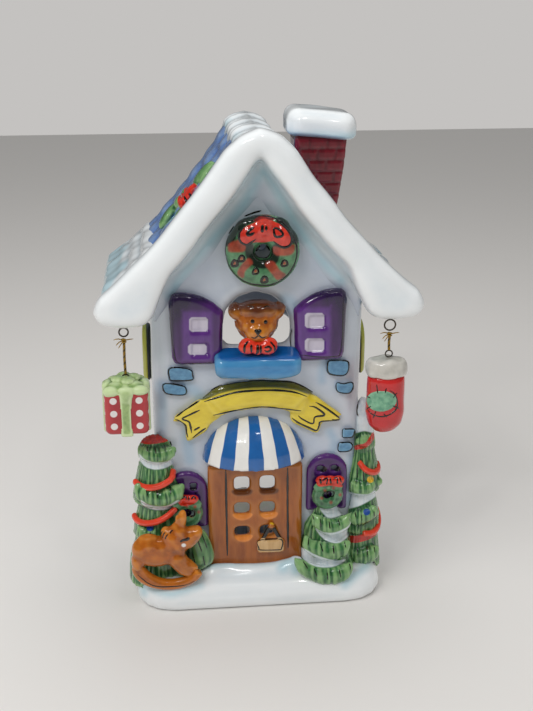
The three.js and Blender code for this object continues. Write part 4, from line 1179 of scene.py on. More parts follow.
class StrandTree:
    """Geometry Nodes that lay one strand of a twisted thread round a path."""

    NAME = "twisted_strand"

    @classmethod
    def tree(cls) -> bpy.types.NodeTree:
        """Makes the tree, or finds it if it was made before.

        Returns:
            The tree.
        """
        if cls.NAME in bpy.data.node_groups:
            return bpy.data.node_groups[cls.NAME]
        tree, given = grown(cls.NAME, ("Pitch", "Throw", "Radius", "Phase"))
        path = node(tree, "GeometryNodeMeshToCurve", {0: given["Geometry"]})
        along = node(tree, "GeometryNodeSplineParameter")
        length = {0: along.outputs["Length"], 1: given["Pitch"]}
        turns = node(tree, "ShaderNodeMath", length, operation="DIVIDE")
        whole_turn = {0: turns.outputs[0], 1: 2 * math.pi, 2: given["Phase"]}
        angle = node(tree, "ShaderNodeMath", whole_turn, operation="MULTIPLY_ADD")
        normal = node(tree, "GeometryNodeInputNormal")
        ahead = node(tree, "GeometryNodeInputTangent")
        spin = {"Vector": normal.outputs[0], "Axis": ahead.outputs[0], "Angle": angle.outputs[0]}
        out = node(tree, "ShaderNodeVectorRotate", spin, rotation_type="AXIS_ANGLE")
        throw = {0: out.outputs[0], "Scale": given["Throw"]}
        offset = node(tree, "ShaderNodeVectorMath", throw, operation="SCALE")
        moved = node(tree, "GeometryNodeSetPosition", {0: path.outputs[0], "Offset": offset.outputs[0]})
        section = node(tree, "GeometryNodeCurvePrimitiveCircle", {"Resolution": 8, "Radius": given["Radius"]})
        strand = {0: moved.outputs[0], 1: section.outputs[0], "Fill Caps": True}
        tube = node(tree, "GeometryNodeCurveToMesh", strand)
        return handed_out(tree, tube.outputs[0], given["Finish"])


@dataclass(frozen=True)
class Slope:
    """The curve that both sides of the roof follow, bent from the ridge over a knee to the eave."""

    ridge: float = 226.0
    knee: tuple[float, float] = (37.3, 170.2)
    eave: tuple[float, float] = (65.8, 148.4)

    def at(self, share: float, offset: float = 0.0) -> tuple[float, float, float]:
        """Finds a place on the slope.

        Args:
            share: How far down the slope the place is, from 0 at the ridge to 1 at the eave.
            offset: How far outside the slope it is.

        Returns:
            Its X, its Z and the slope's fall there in radians.
        """
        rest = 1 - share
        x = 2 * rest * share * self.knee[0] + share**2 * self.eave[0]
        z = rest**2 * self.ridge + 2 * rest * share * self.knee[1] + share**2 * self.eave[1]
        run = rest * self.knee[0] + share * (self.eave[0] - self.knee[0])
        fall = rest * (self.ridge - self.knee[1]) + share * (self.knee[1] - self.eave[1])
        length = math.hypot(run, fall)
        return x + offset * fall / length, z + offset * run / length, math.atan2(fall, run)

    def share(self, x: float, offset: float = 0.0) -> float:
        """Returns the share of the slope at which it crosses an X, at an offset."""
        shares = np.linspace(0, 1, 400)
        return float(np.interp(x, [self.at(share, offset)[0] for share in shares], shares))

    def rows(self, start: float, end: float, gap: float) -> list[float]:
        """Returns the shares between two shares that lie a gap apart along the slope.

        Args:
            start: The share that the rows begin at.
            end: The share that they stay above.
            gap: The millimetres from row to row.

        Returns:
            The share of each row.
        """
        shares = np.linspace(start, end, 200)
        places = np.array([self.at(share)[:2] for share in shares])
        along = np.concatenate([[0], np.cumsum(np.linalg.norm(np.diff(places, axis=0), axis=1))])
        return list(np.interp(np.arange(0, along[-1], gap), along, shares))


SLOPE = Slope()


@dataclass
class Roof:
    """The tiled slopes, the snow that lies on them and the sprig on the left one.

    tile_pitch is the share of its length that one tile lies from the next, and overhang is how far
    the tiles reach past front and back. left_snow and right_snow are the shares of the slopes at
    which the eave snow begins, and wash_top is the height up to which it carries a blue wash.
    """

    front: float = -30.0
    back: float = 44.0
    tile: tuple[float, float, float] = (18.5, 25.0, 6.0)
    tile_gap: float = 11.2
    tile_sunk: float = -0.4
    tile_pitch: float = 0.84
    tile_uneven: float = 0.1
    overhang: float = 1.5
    rib: float = 4.3
    rib_sunk: float = -0.9
    rib_gap: float = 7.6
    tilt: float = 0.14
    left_snow: float = 0.66
    right_snow: float = 0.76
    wash_top: float = 156.0

    def build(self) -> None:
        """Makes the tiles, the ridge and eave snow, the rim and the sprig."""
        self.tiles()
        self.eave_snow(Side.LEFT, self.left_snow)
        self.eave_snow(Side.RIGHT, self.right_snow)
        self.ridge_snow()
        self.rim()
        self.holly()

    def courses(self, side: Side) -> Skin:
        """Presses the courses of tiles over one slope, and returns them as one skin.

        Args:
            side: The slope.

        Returns:
            The tiles of the slope, as one skin.
        """
        places, turns = [], []
        length = self.tile[1]
        pitch = length * self.tile_pitch
        for row, share in enumerate(SLOPE.rows(0.12, 0.97, self.tile_gap)):
            x, z, fall = SLOPE.at(share, self.tile_sunk)
            for y in np.arange(self.front + (row % 2) * pitch / 2, self.back + pitch / 2, pitch):
                inset = length / 2 - self.overhang
                middle = np.clip(y, self.front + inset, self.back - inset)
                places.append((side.value * x, middle, z))
                turns.append((0.0, side.value * (fall - self.tilt), 0.0))
        return StampTree.pressed(places, turns, self.tile, self.tile_uneven, TILE)

    def tiles(self) -> None:
        """Covers both slopes with courses of rounded tiles."""
        lumps = [self.courses(side) for side in Side]
        clay = Clay.copied("roof_tiles", 1.45, 2, 0.1, lumps)
        clay.fire("roof_tiles", "tile", TILE)

    def eave_snow(self, side: Side, start: float) -> None:
        """Lays the ribbed snow along one eave.

        Args:
            side: The eave.
            start: The share of the slope at which the snow begins.
        """
        name = side.name.lower() + "_eave_snow"
        ribs = []
        for share in SLOPE.rows(start + 0.03, 0.98, self.rib_gap):
            x, z, _ = SLOPE.at(share, self.rib_sunk)
            line = [(side.value * x, y, z) for y in (self.front, 7.0, self.back)]
            ribs.append(Skin.roll(line, (self.rib, self.rib, self.rib)))
        clay = Clay.copied(name, 1.25, 9, 0.3, ribs)
        clay.wobble(0.25, 16, 3)
        clay.mark("wash", 6.0 * ripple(clay.points, 22, 5) + clay.points[:, 2] - self.wash_top)
        clay.fire(name, "snow", SNOW)

    def ridge_snow(self) -> None:
        """Lays the wavy snow along the ridge."""
        heights = (216.2, 215.4, 216.4, 215.5, 216.0, 215.2, 216.1, 215.4)
        lumps = [Skin.lump((0, -27 + 10 * i, z), (10.5, 6.2, 5.2)) for i, z in enumerate(heights)]
        clay = Clay.copied("ridge_snow", 1.2, 9, 0.2, lumps)
        clay.mark("wash", 4.6 - np.abs(clay.points[:, 0]) * 0.3 + 2.5 * ripple(clay.points, 14, 8))
        clay.fire("ridge_snow", "snow", SNOW)

    def cove(self) -> Skin:
        """Returns the hollow run of clay that leads from the rim's underside to the front wall.

        Returns:
            The closed skin.
        """
        section = ((-25.0, -5), (-25.0, -22), (-26.7, -18.5), (-28.6, -13), (-31.5, -9.8), (-38.0, -8.0),
                   (-38.0, -5))
        lines = []
        for depth, offset in section:
            start, end = SLOPE.share(0.0, offset), SLOPE.share(47.2, offset)
            places = [SLOPE.at(share, offset) for share in np.linspace(start, end, 26)]
            half = [(x, depth, z) for x, z, _ in places]
            lines.append([(-x, y, z) for x, y, z in reversed(half[1:])] + half)
        return Skin.loft(np.array(lines).transpose(1, 0, 2))

    def rim(self) -> None:
        """Rolls the thick snow along the front of both slopes."""
        drip = Skin.dollop((340, 240.5), -42.5, (4.6, 3.2, 5.4))
        clay = Clay.copied("front_snow_rim", 1.4, 20, 0.25, [self.cove(), drip])
        clay.wobble(0.4, 26, 4)
        under = clay.points[:, 1] + 29.5
        clay.mark("lilac", np.where(clay.normals()[:, 1] < 0.2, -under, OUTSIDE))
        for path in (
            ((264, 172), (256, 182), (248, 197.8), (235.8, 216.2), (215.8, 236), (200.5, 254), (180.6, 279),
             (170, 296)),
            ((264, 172), (271, 180), (277, 189), (287.8, 208), (295.5, 223), (310.8, 246), (326, 265),
             (341, 280)),
        ):
            clay.brushed("wash", path, 1.8)
        clay.fire("front_snow_rim", "snow", SNOW)

    def holly(self) -> None:
        """Sets a sprig of two leaves, a thin leaf and a red bow on the left slope."""
        leaves = [
            self.leaf((169.5, 213.5), (6.4, 3.4, 1.7), 0.5),
            self.leaf((181.5, 212.5), (4.6, 3.2, 1.7), -0.5),
            self.leaf((207, 173), (6.4, 1.5, 1.3), 0.1),
            self.leaf((191.5, 191.5), (4.4, 3.6, 2.2), 0.2),
            self.leaf((184.5, 201.5), (4.0, 3.4, 2.2), 0.5),
        ]
        clay = Clay.copied("roof_holly", 0.7, 3, 0.1, leaves)
        for middle, radii in (((191.5, 191.5), (7.5, 9.0)), ((184.0, 201.0), (6.5, 8.0))):
            clay.dab("red", middle, radii)
        strokes = (
            ((184, 196), (187, 203), (186, 208)), ((189, 193), (192, 199), (190, 205)),
            ((195, 188), (196, 193), (194, 198)),
        )
        clay.inks += Canvas(clay).lines(strokes, 1.1)
        clay.fire("roof_holly", "green", GREEN)

    def leaf(self, pixel: Sequence[float], radii: Sequence[float], turn: float) -> Skin:
        """Lays one flat lump on the left slope.

        Args:
            pixel: The photograph's pixel of its middle.
            radii: Its half length, half width and half thickness.
            turn: Its turn on the slope in radians.

        Returns:
            The closed skin.
        """
        seen = [SIGHT.reach(pixel, depth) for depth in np.linspace(-29, 30, 119)]
        gaps = [abs(spot[2] - SLOPE.at(SLOPE.share(-spot[0], 2.6), 2.6)[1]) for spot in seen]
        place = seen[int(np.argmin(gaps))]
        lean = -SLOPE.at(SLOPE.share(-place[0], 2.6))[2]
        lump = Skin.lump((0, 0, 0), radii)
        for angle, plane in ((turn, (0, 1)), (lean, (2, 0))):
            cos, sin = math.cos(angle), math.sin(angle)
            first, second = lump.points[:, plane[0]].copy(), lump.points[:, plane[1]].copy()
            lump.points[:, plane[0]] = first * cos - second * sin
            lump.points[:, plane[1]] = first * sin + second * cos
        lump.points += place
        return lump


@dataclass
class Chimney:
    """The leaning brick stack and the pillow of snow on it.

    course and brick are a brick's height and width with its joint, raised is how much higher the
    top of the stack stands than in the frame, and lean is how far the courses shift aside for each
    millimetre of height.
    """

    course: float = 5.2
    brick: float = 8.4
    joint: float = 0.55
    cap_foot: float = 209.3
    raised: float = 6.0
    lean: float = 0.085

    def build(self) -> None:
        """Makes the stack and its snow."""
        stack = Clay.copied("chimney_stack", 0.85, 3, 0.2)
        stack.points[:, 2] += self.raised * np.clip((stack.points[:, 2] - 200) / 9, 0, 1)
        x, y, z = stack.points.T
        row = np.floor(z / self.course)
        along = np.where(np.abs(stack.normals()[:, 1]) > 0.7, x - self.lean * (z - 190), y)
        across = np.abs((along + row % 2 * self.brick / 2) % self.brick - self.brick / 2)
        level = np.abs(z % self.course - self.course / 2)
        gap = np.minimum(self.course / 2 - level, self.brick / 2 - across) - self.joint
        stack.swell(-0.14 * np.clip(0.5 - gap, 0, 1))
        stack.mark("joint", gap)
        stack.fire("chimney_stack", "brick", BRICK)
        puffs = [Skin.lump((23.5, 15, 217), (6.2, 11, 7)), Skin.lump((41.5, 15, 216.6), (6.2, 11, 6.6))]
        cap = Clay.copied("chimney_snow_cap", 1.2, 8, 0.3, puffs).wobble(0.3, 16, 9)
        aside = np.clip((cap.points[:, 0] - 22) / 22, 0, 1)
        low = np.clip((217 - cap.points[:, 2]) / 7.7, 0, 1)
        cap.points[:, 2] += 4.6 * low * (1 - 0.5 * aside) - 2.2 * (1 - low) * aside
        cap.mark("wash", cap.points[:, 2] - 2.2 - self.cap_foot - 4.4 - 0.5 * ripple(cap.points, 9, 2))
        cap.fire("chimney_snow_cap", "snow", SNOW)


@dataclass
class Walls:
    """The hollow shell with its washes, the wall stones and the side windows."""

    shade_depth: float = 6.0
    rim_depth: float = 14.0
    pane_middle: tuple[float, float] = (-2.0, 116.5)
    pane_half: tuple[float, float] = (6.0, 8.4)
    pane_face: float = 50.1

    STONES = (
        ((168.8, 367.9), (168.3, 377.5), (172, 381.1), (192.5, 380.4), (193.3, 374.5), (191.8, 370.1),
         (183.7, 367.5)),
        ((163.5, 383.3), (163.5, 392.1), (172, 395.1), (185.2, 395.1), (187, 389.9), (183, 385.5)),
        ((333.4, 359.9), (327.5, 361.3), (326.8, 371.6), (331.9, 375.3), (343.6, 376), (348.8, 371.6),
         (349.5, 362.8), (345.1, 359.9)),
        ((343.6, 383.3), (352.4, 381.9), (353.9, 387.7), (349.5, 393.6), (339.2, 392.9), (335.6, 389.2),
         (336.3, 382.6)),
        ((342.3, 429.2), (341.8, 436.3), (343.9, 437.9), (352.6, 437.3), (355.3, 430.8), (354.8, 428.7),
         (346.1, 428.7)),
        ((338.5, 442.8), (337.4, 449.3), (339.6, 452), (349.4, 451.4), (353.2, 446.6), (350.5, 442.2),
         (341.8, 442.2)),
    )

    def build(self) -> None:
        """Makes the shell, the stones and the side windows."""
        shell = Clay.copied("house_shell", 1.95, 4, 0.35).wobble(0.2, 30, 12)
        x, y, z = shell.points.T
        roof = np.interp(np.abs(x), *np.array([SLOPE.at(share)[:2] for share in np.linspace(0, 1, 60)]).T)
        # Painted shade: a darker, bluer band on the front wall under the roof.
        shell.mark("shade", np.where(y < -20, roof - z - self.rim_depth - self.shade_depth, OUTSIDE))
        for path, width in (
            (((284, 300), (290, 303), (291, 309)), 3.0),
            (((186, 385), (200, 400), (188, 430), (190, 460)), 2.6),
            (((232, 379), (250, 377), (280, 377)), 1.5),
            (((355, 440), (352, 470), (350, 500)), 3.0),
            (((160, 385), (162, 410), (160, 440)), 2.4),
            (((322, 380), (322, 370), (326, 356)), 1.6),
            (((330, 432), (334, 440), (333, 452)), 1.8),
        ):
            shell.brushed("wash", path, width)
        shell.fire("house_shell", "wall", WALL)
        for number, outline in enumerate(self.STONES, 1):
            self.stone(number, outline)
        for side in Side:
            name = side.name.lower() + "_side_window"
            pane = Clay.copied(name, 0.8, 4, 0.3)
            x, y, z = pane.points.T
            (y0, z0), (deep, high) = self.pane_middle, self.pane_half
            dark = np.maximum(np.abs(y - y0) - deep, np.abs(z - z0) - high)
            dark = np.minimum(dark, np.abs(x) - self.pane_face)
            pane.mark("black", dark).fire(name, "lime", LIME)

    def stone(self, number: int, outline: Points) -> None:
        """Makes one stone from its outline, with the brush line round it.

        Args:
            number: The stone's number in the frame.
            outline: The pixels of its outline.
        """
        stone = Clay.fused([Skin.slab(outline, -26.0, -29.6)], 0.5, 3).swell(0.15)
        middle = np.mean(outline, axis=0)
        stone.inks += Canvas(stone).line(middle + (np.array(outline) - middle) * 0.93, 0.95, closed=True)
        stone.fire(f"wall_stone_{number}", "stone", STONE)


@dataclass
class GableWreath:
    """The wreath over the upper window, with its painted bow."""

    centre: tuple[float, float, float] = (1.6, -33.1, 171.0)
    ring: float = 9.7
    tube: float = 6.5
    squash: float = 0.68

    EDGE = ((261.3, 214.6), (278, 218.2), (291, 229), (297.9, 246), (296.5, 262), (288, 276), (274, 285),
            (261, 286.3), (245, 283), (232, 273), (225, 258), (225, 243), (231.5, 228), (245, 217.8))
    BOW = ((252.2, 223.7), (264.1, 218.7), (277.9, 223.2), (286.8, 229.1), (291.6, 239.5), (288.8, 245.9),
           (282.9, 246.9), (274, 241.5), (264.1, 242.4), (254.2, 242.4), (246.3, 244.4), (240.4, 241.5),
           (239.2, 234.5), (244.3, 227.6))
    CROWN = ((259.1, 216.3), (264.1, 214.3), (270, 215.3), (274, 220.2), (254.2, 221.2))
    TAILS = (
        ((228.5, 244.4), (234.4, 241), (240.4, 239.5), (245.3, 244.4), (244.3, 251.3), (236.4, 252.3),
         (228.5, 251.3)),
        ((274, 246.4), (283.9, 248.4), (291.8, 244.4), (295.2, 246.4), (291.8, 254.3), (279.9, 255.8),
         (274, 253.3)),
        ((248.3, 258.3), (252.7, 263.2), (245.3, 271.1), (243.3, 278), (237.4, 274.1), (240.4, 266.2)),
        ((265.1, 264.2), (273, 261.2), (279.9, 270.1), (285.8, 275.1), (277.9, 280), (272, 274.1)),
    )
    LINES = (
        ((244.3, 227.1), (239.9, 232.1), (238.9, 238.5), (241.8, 242.9), (246.8, 244.7), (251.2, 242.4),
         (255.7, 239.3)),
        ((254.2, 227.1), (249.3, 230.6), (247.1, 234.5), (249.7, 235), (254.7, 232.6)),
        ((262.6, 224.7), (262.3, 229), (262.1, 232.6)),
        ((266.3, 225.6), (266.3, 228), (266.3, 230.6)),
        ((279.9, 223.2), (286.8, 229.1), (291, 235.5), (291.8, 240.5), (289.8, 245.4), (284.3, 247.4),
         (278.4, 245.4), (273.5, 241)),
    )
    BUCKLE = ((274.5, 228.1), (279.4, 229.6), (283.1, 234), (280.9, 236.5), (275.5, 236.5), (274, 231.6))
    HOLE = ((262.8, 243.4), (270, 250.4), (267, 257.3), (257.7, 256.8), (255.4, 251.3))
    BERRIES = ((241.3, 258.5), (255.4, 271.1), (284.3, 263.2), (264.1, 279.7), (234.4, 263.2))

    def build(self) -> None:
        """Makes the wreath."""
        bow = [
            Skin.dollop((248.5, 235), -36.4, (5.0, 2.2, 3.6), 0.5),
            Skin.dollop((282, 235.5), -36.4, (5.2, 2.2, 3.8), -0.6),
            Skin.dollop((264.5, 228.5), -37.0, (3.0, 2.2, 3.2)),
        ]
        ring = Skin.wreath(self.centre, self.ring, self.tube, self.squash)
        clay = Clay.copied("gable_wreath", 0.8, 5, 0.25, [ring, *bow]).wobble(0.15, 7, 6)
        clay.brushed("edge", ((228, 240), (233, 229), (243, 220), (254, 215.5)), 2.8)
        clay.brushed("edge", ((280, 220), (289, 229), (295, 240)), 1.8)
        clay.brushed("edge", ((249, 247), (252, 259), (262, 264), (273, 260), (276, 249)), 2.0)
        for tail in self.TAILS:
            clay.fill("rust", tail)
        clay.fill("dark", self.CROWN).fill("red", self.BOW).fill("hole", self.HOLE)
        canvas = Canvas(clay)
        clay.inks += canvas.lines(self.LINES, 1.25)
        clay.inks += canvas.line(self.BUCKLE, 1.15, closed=True)
        clay.inks += canvas.line(self.HOLE, 1.2, closed=True)
        rim = [(x * 0.968 + 8.37, y * 0.968 + 8.02) for x, y in self.EDGE]
        clay.inks += canvas.line(rim, 1.0, closed=True)
        clay.inks += canvas.line(((244.3, 216.3), (252.2, 213.3), (261.3, 210.6)), 0.8)
        for x, y in self.BERRIES:
            loop = [(x - 2.8, y + 2.6), (x - 0.6, y - 2.8), (x + 2.4, y - 1.8), (x + 2.8, y + 2.2)]
            clay.inks += canvas.line(loop, 1.05, closed=True)
            clay.dab("rust", (x, y), (1.8, 1.8))
        clay.fire("gable_wreath", "green", WREATH)


@dataclass
class UpperWindow:
    """The two shutters, the sill and the bear that looks out over it."""

    LEFT = ((166.8, 299.9), (172.4, 294.3), (184.9, 293.1), (197.3, 295.6), (209.8, 302.4), (219.7, 309.9),
            (224.1, 314.2), (223.4, 326), (222.2, 341), (221.6, 359.6), (209.8, 365.2), (184.9, 366.5),
            (176.2, 364.6), (172.4, 354.7), (169.3, 334.8), (167.5, 316.1))
    RIGHT = ((289.4, 316.1), (291.8, 308.6), (303, 299.9), (311.7, 293.7), (321.7, 290.6), (334.1, 288.7),
             (342.8, 291.2), (345.3, 297.4), (344.7, 322.3), (344.1, 341), (341.6, 354.7), (339.1, 358.4),
             (321.7, 359.6), (304.3, 357.8), (291.8, 354.7), (288.1, 341), (290, 328.5))
    PANES = {
        Side.LEFT: ((189.2, 317.3, 207.9, 331.6), (188, 344.1, 206.6, 354.7)),
        Side.RIGHT: ((304.9, 313, 324.2, 327.9), (304.9, 338.5, 324.2, 351.5)),
    }
    HALO = {Side.LEFT: (182.4, 311.6, 212.2, 360.6), Side.RIGHT: (298.5, 307.5, 330.5, 356)}
    ROOF_SHADE_OUTLINES = {
        Side.LEFT: ((163, 290), (197, 290), (213, 300), (196, 305), (184, 309), (177, 325), (174, 345),
                    (163, 345)),
        Side.RIGHT: ((349, 285), (318, 285), (300, 297), (318, 300), (333, 303), (338, 315), (340, 345),
                     (349, 345)),
    }
    CROWN = ((226, 296), (290, 296), (284, 311), (279, 315), (270, 312.5), (256, 317), (243, 312),
             (236, 317.5), (228, 312))
    TIE = (
        ((248.3, 340.8), (244.6, 346.7), (244.6, 354)),
        ((251.2, 344.5), (252, 353.3), (257.1, 353.3), (257.8, 344.5)),
        ((260.8, 345.2), (260.8, 349), (260.8, 353.3)),
        ((264.4, 348.1), (268.8, 346.7), (271, 349.6), (267.4, 351.8), (264.4, 350.3)),
        ((270.3, 341.5), (274.7, 347.4), (274, 354)),
    )
    MOUTH = ((251.2, 337.1), (254.9, 338.2), (258.6, 335.7), (262.2, 337.9), (266.6, 336.7))

    def build(self) -> None:
        """Makes the shutters, the sill, the bear and its tie."""
        self.shutter(Side.LEFT)
        self.shutter(Side.RIGHT)
        self.sill()
        self.bear()
        self.tie()

    @staticmethod
    def box(left: float, top: float, right: float, foot: float) -> Points:
        """Returns the corners of an upright box with cut corners, in pixels.

        Args:
            left: Its least pixel across.
            top: Its least pixel down.
            right: Its greatest pixel across.
            foot: Its greatest pixel down.

        Returns:
            The corners in order.
        """
        cut = 2.2
        return (
            (left + cut, top), (right - cut, top), (right, top + cut), (right, foot - cut),
            (right - cut, foot), (left + cut, foot), (left, foot - cut), (left, top + cut),
        )

    def shutter(self, side: Side) -> None:
        """Makes one open shutter.

        Args:
            side: The side that the shutter is on.
        """
        name = side.name.lower() + "_shutter"
        outline = self.LEFT if side is Side.LEFT else self.RIGHT
        clay = Clay.copied(name, 0.8, 4, 0.35)
        # Painted shade: the shutter's top and outer side under the roof are nearly black.
        clay.fill("night", self.ROOF_SHADE_OUTLINES[side], smooth=False).fill("halo", self.box(*self.HALO[side]))
        for pane in self.PANES[side]:
            clay.fill("pane", self.box(*pane), smooth=False)
        inner = np.array(outline)
        inner = inner.mean(0) + (inner - inner.mean(0)) * 0.93
        clay.inks += Canvas(clay).line(inner[7:], 0.5, lift=0.05)
        clay.fire(name, "purple", PURPLE)

    def sill(self) -> None:
        """Makes the blue sill, with its rolled front lip."""
        lip = [SIGHT.reach(pixel, -36.6) for pixel in ((219, 371), (240, 371.6), (262, 371.6), (284, 371.2),
                                                       (297.5, 370))]
        clay = Clay.copied("window_sill", 0.8, 6, 0.3, [Skin.roll(lip, (3.0, 3.2, 3.2, 3.2, 2.9), 0.95)])
        top = ((224, 344), (240, 344), (280, 343), (297, 347), (299, 359), (262, 360), (221, 360))
        clay.wobble(0.25, 9, 14).fill("top", top).fire("window_sill", "sill", SILL)

    def bear(self) -> None:
        """Makes the bear's head."""
        lumps = [
            Skin.dollop((236.4, 312.8), -31.5, (4.0, 2.6, 3.4)),
            Skin.dollop((277, 312.6), -31.5, (3.8, 2.6, 3.4)),
            Skin.dollop((257.5, 309), -31.0, (9.6, 6.0, 4.0)),
            Skin.dollop((257.5, 331.5), -35.0, (7.4, 4.2, 4.6)),
            Skin.dollop((246.5, 327), -34.0, (3.6, 3.4, 3.8)),
            Skin.dollop((269, 327), -34.0, (3.6, 3.4, 3.8)),
        ]
        clay = Clay.copied("teddy_bear", 0.6, 5, 0.25, lumps).wobble(0.15, 5, 21)
        narrow = np.interp(clay.points[:, 2], (126, 133, 139.5, 144), (0.84, 0.80, 0.88, 1.0))
        middle = SIGHT.reach((257.3, 325), -34)[0]
        clay.points[:, 0] = middle + (clay.points[:, 0] - middle) * narrow
        clay.fill("crown", self.CROWN)
        clay.dab("muzzle", (258, 332), (10, 6.5)).dab("muzzle", (236.6, 314), (3.4, 3)).dab("muzzle",
                (277, 314), (3.2, 3))
        canvas = Canvas(clay)
        clay.inks += canvas.spots(((252.6, 321.4), (265.7, 322.0)), 0.95, 0.4)
        clay.inks += canvas.spots(((256.3, 331.0), (259.7, 331.0), (258, 333.2), (258, 331.4)), 0.9, 0.4)
        clay.inks += canvas.line(self.MOUTH, 0.85)
        brows = ((247.5, 307), (251, 306), (254, 308)), ((263, 308), (267, 306), (270, 307.5))
        clay.inks += canvas.lines(brows, 0.5, 0.05)
        clay.fire("teddy_bear", "bear", BEAR)

    def tie(self) -> None:
        """Makes the bear's striped bow tie."""
        lumps = [
            Skin.dollop((247.6, 347), -37.2, (4.2, 2.2, 3.2)),
            Skin.dollop((267.6, 347.6), -37.2, (4.2, 2.2, 3.2)),
            Skin.dollop((257.5, 349), -37.6, (2.6, 2.0, 2.6)),
        ]
        clay = Clay.copied("bear_bow_tie", 0.5, 3, 0.1, lumps)
        clay.inks += Canvas(clay).lines(self.TIE, 1.1)
        clay.fire("bear_bow_tie", "red", RED)


@dataclass
class Shopfront:
    """The bare banner, the striped awning and the door with its hanging sign.

    awning is the middle of the awning's upper edge. Its stripes lie a pitch apart there and spread
    towards the hem; stripe is the half width of a blue one, as a share of the pitch.
    """

    awning: tuple[float, float, float] = (-2.4, -27.0, 91.0)
    stripe: float = 0.26
    pitch: float = 8.8
    spread: float = 0.135
    sign_dark: tuple[float, float] = (29.4, 36.4)

    BANNER = (
        ((202.8, 398), (216, 387.7), (232.1, 383.3), (252.7, 381.1), (271.8, 381.1), (290.8, 381.9),
         (304, 387), (312.8, 392.1)),
        ((204.3, 401.7), (220.4, 396.5), (238, 392.1), (260, 390.4), (277.6, 390.4), (293.8, 392.1),
         (307, 396.5)),
        ((213.1, 415.3), (232.1, 411.2), (252.7, 407.6), (267.4, 407.1), (282, 408.6), (301.1, 410.9)),
        ((315.8, 402.1), (326, 408.3), (336.3, 415.6), (340.2, 418.9), (336.3, 420), (331.9, 419.4)),
        ((309.2, 406.1), (315.8, 407.6), (324.6, 414.9), (315, 417.1), (312.8, 423.7), (302.6, 419.3),
         (298.2, 415.6)),
        ((291.9, 418), (298.4, 422.7), (308.2, 427.3), (316.4, 430.5), (319.3, 425.4), (321.2, 421.6),
         (338.6, 420.4)),
        ((176.2, 416.6), (185, 410), (200, 400.2)),
        ((200, 410), (190.4, 414.5), (182.3, 418.9), (188.6, 421.6), (190.4, 426.1), (191.7, 433)),
        ((175.4, 419.2), (181.4, 422.1), (185.6, 425.7), (186.4, 432.2), (188, 437.5)),
        ((192.4, 438.2), (200, 432.1), (206, 428)),
        ((193.9, 430.5), (197, 428.6), (200, 427)),
    )
    SILL_SHADOW = ((200, 398), (214, 387), (232, 382), (253, 379.5), (290, 380.5), (305, 386), (316, 394),
           (306, 393.5), (293, 389.4), (277, 387.6), (257, 387.6), (238, 389.4), (220, 393.6), (206, 399.5))
    FOLDS = (
        (
            ((204, 397), (218, 387), (234, 383), (253, 381.5), (272, 381.5), (290, 382.5), (303, 387),
             (312, 393), (294, 391), (277, 390), (258, 390), (238, 391.5), (220, 396.5)),
            -29.2,
        ),
        (
            ((203, 399.5), (220.4, 394.5), (238, 389.6), (260, 388), (277.6, 388), (293.8, 389.6),
             (308, 394.5), (303, 412.4), (282, 409.2), (267.4, 407.7), (252.7, 408.2), (232, 411.8),
             (213, 416)),
            -32.2,
        ),
        (
            ((291, 412), (300, 404), (312, 400.5), (326, 407.6), (340.6, 419.2), (331, 421.2),
             (321.6, 422.4), (320.4, 427), (316.8, 432.6), (308, 429.2), (298, 424.8), (291.6, 420.4)),
            -31.2,
        ),
        (
            ((210, 404), (200, 399.6), (185, 409.6), (173.8, 417.6), (181.4, 421.4), (185, 426.1),
             (185.8, 433.2), (188, 441), (200, 434.4), (207, 429), (213, 416)),
            -31.2,
        ),
    )
    POSTS = (
        ((225.8, 469.9), (226.1, 490), (226.4, 506.7), (227.4, 555.5)),
        ((287.6, 467.7), (287.6, 506.7), (288.1, 547.9)),
    )
    PANE_SHADES = (
        ((232.5, 490), (251.5, 489.5), (250.5, 494.5), (241, 496), (233.5, 494.5)),
        ((260.5, 489), (277.5, 488.5), (276.5, 493.5), (262, 494.5)),
    )
    LEDGE_HIGHLIGHTS = (
        ((233.5, 513.6), (251.5, 513.2), (250, 518), (242, 520.5), (235, 518)),
        ((261, 512.8), (277, 512), (276, 517), (268, 519.5), (262, 517)),
        ((235.5, 535.2), (252, 534.8), (250, 540), (243, 542), (237, 540)),
        ((266.5, 531.5), (277, 531), (276.5, 537), (266, 537.5)),
    )
    PLAQUE = ((259, 540.5), (281, 539.5), (281.5, 548.5), (279, 549.8), (260.5, 550), (259, 548.5))

    def build(self) -> None:
        """Makes the banner, the awning, the door and the sign."""
        folds = [Skin.slab(outline, -27.0, front) for outline, front in self.FOLDS]
        banner = Clay.copied("shop_banner", 0.75, 3, 0.2, folds).wobble(0.12, 12, 15)
        # Painted shadow: the banner's top edge under the sill is olive.
        banner.fill("top", self.SILL_SHADOW)
        banner.inks += Canvas(banner).lines(self.BANNER, 0.95)
        banner.fire("shop_banner", "yellow", YELLOW)
        self.canopy()
        door = Clay.copied("shop_door", 0.9, 3, 0.35)
        # Painted highlight: the lower pane ledges are orange, as if lit from above.
        for ledge in self.LEDGE_HIGHLIGHTS:
            door.fill("ledge", ledge)
        # Painted shade: dark brown at the foot of the top row of panes.
        for patch in self.PANE_SHADES:
            door.fill("dusk", patch)
        door.inks += Canvas(door).lines(self.POSTS, 1.15)
        door.fire("shop_door", "door", DOOR)
        sign = Clay.copied("door_sign", 0.5, 3, 0.25)
        height, (foot, top) = sign.points[:, 2], self.sign_dark
        sign.mark("black", np.maximum(foot - height, height - top))
        sign.fill("tan", self.PLAQUE, smooth=False, grow=1.0).dab("gold", (273.3, 521.6), (4.4, 3.2))
        sign.inks += Canvas(sign, door).line(self.PLAQUE, 0.6, closed=True)
        sign.fire("door_sign", "door", DOOR)

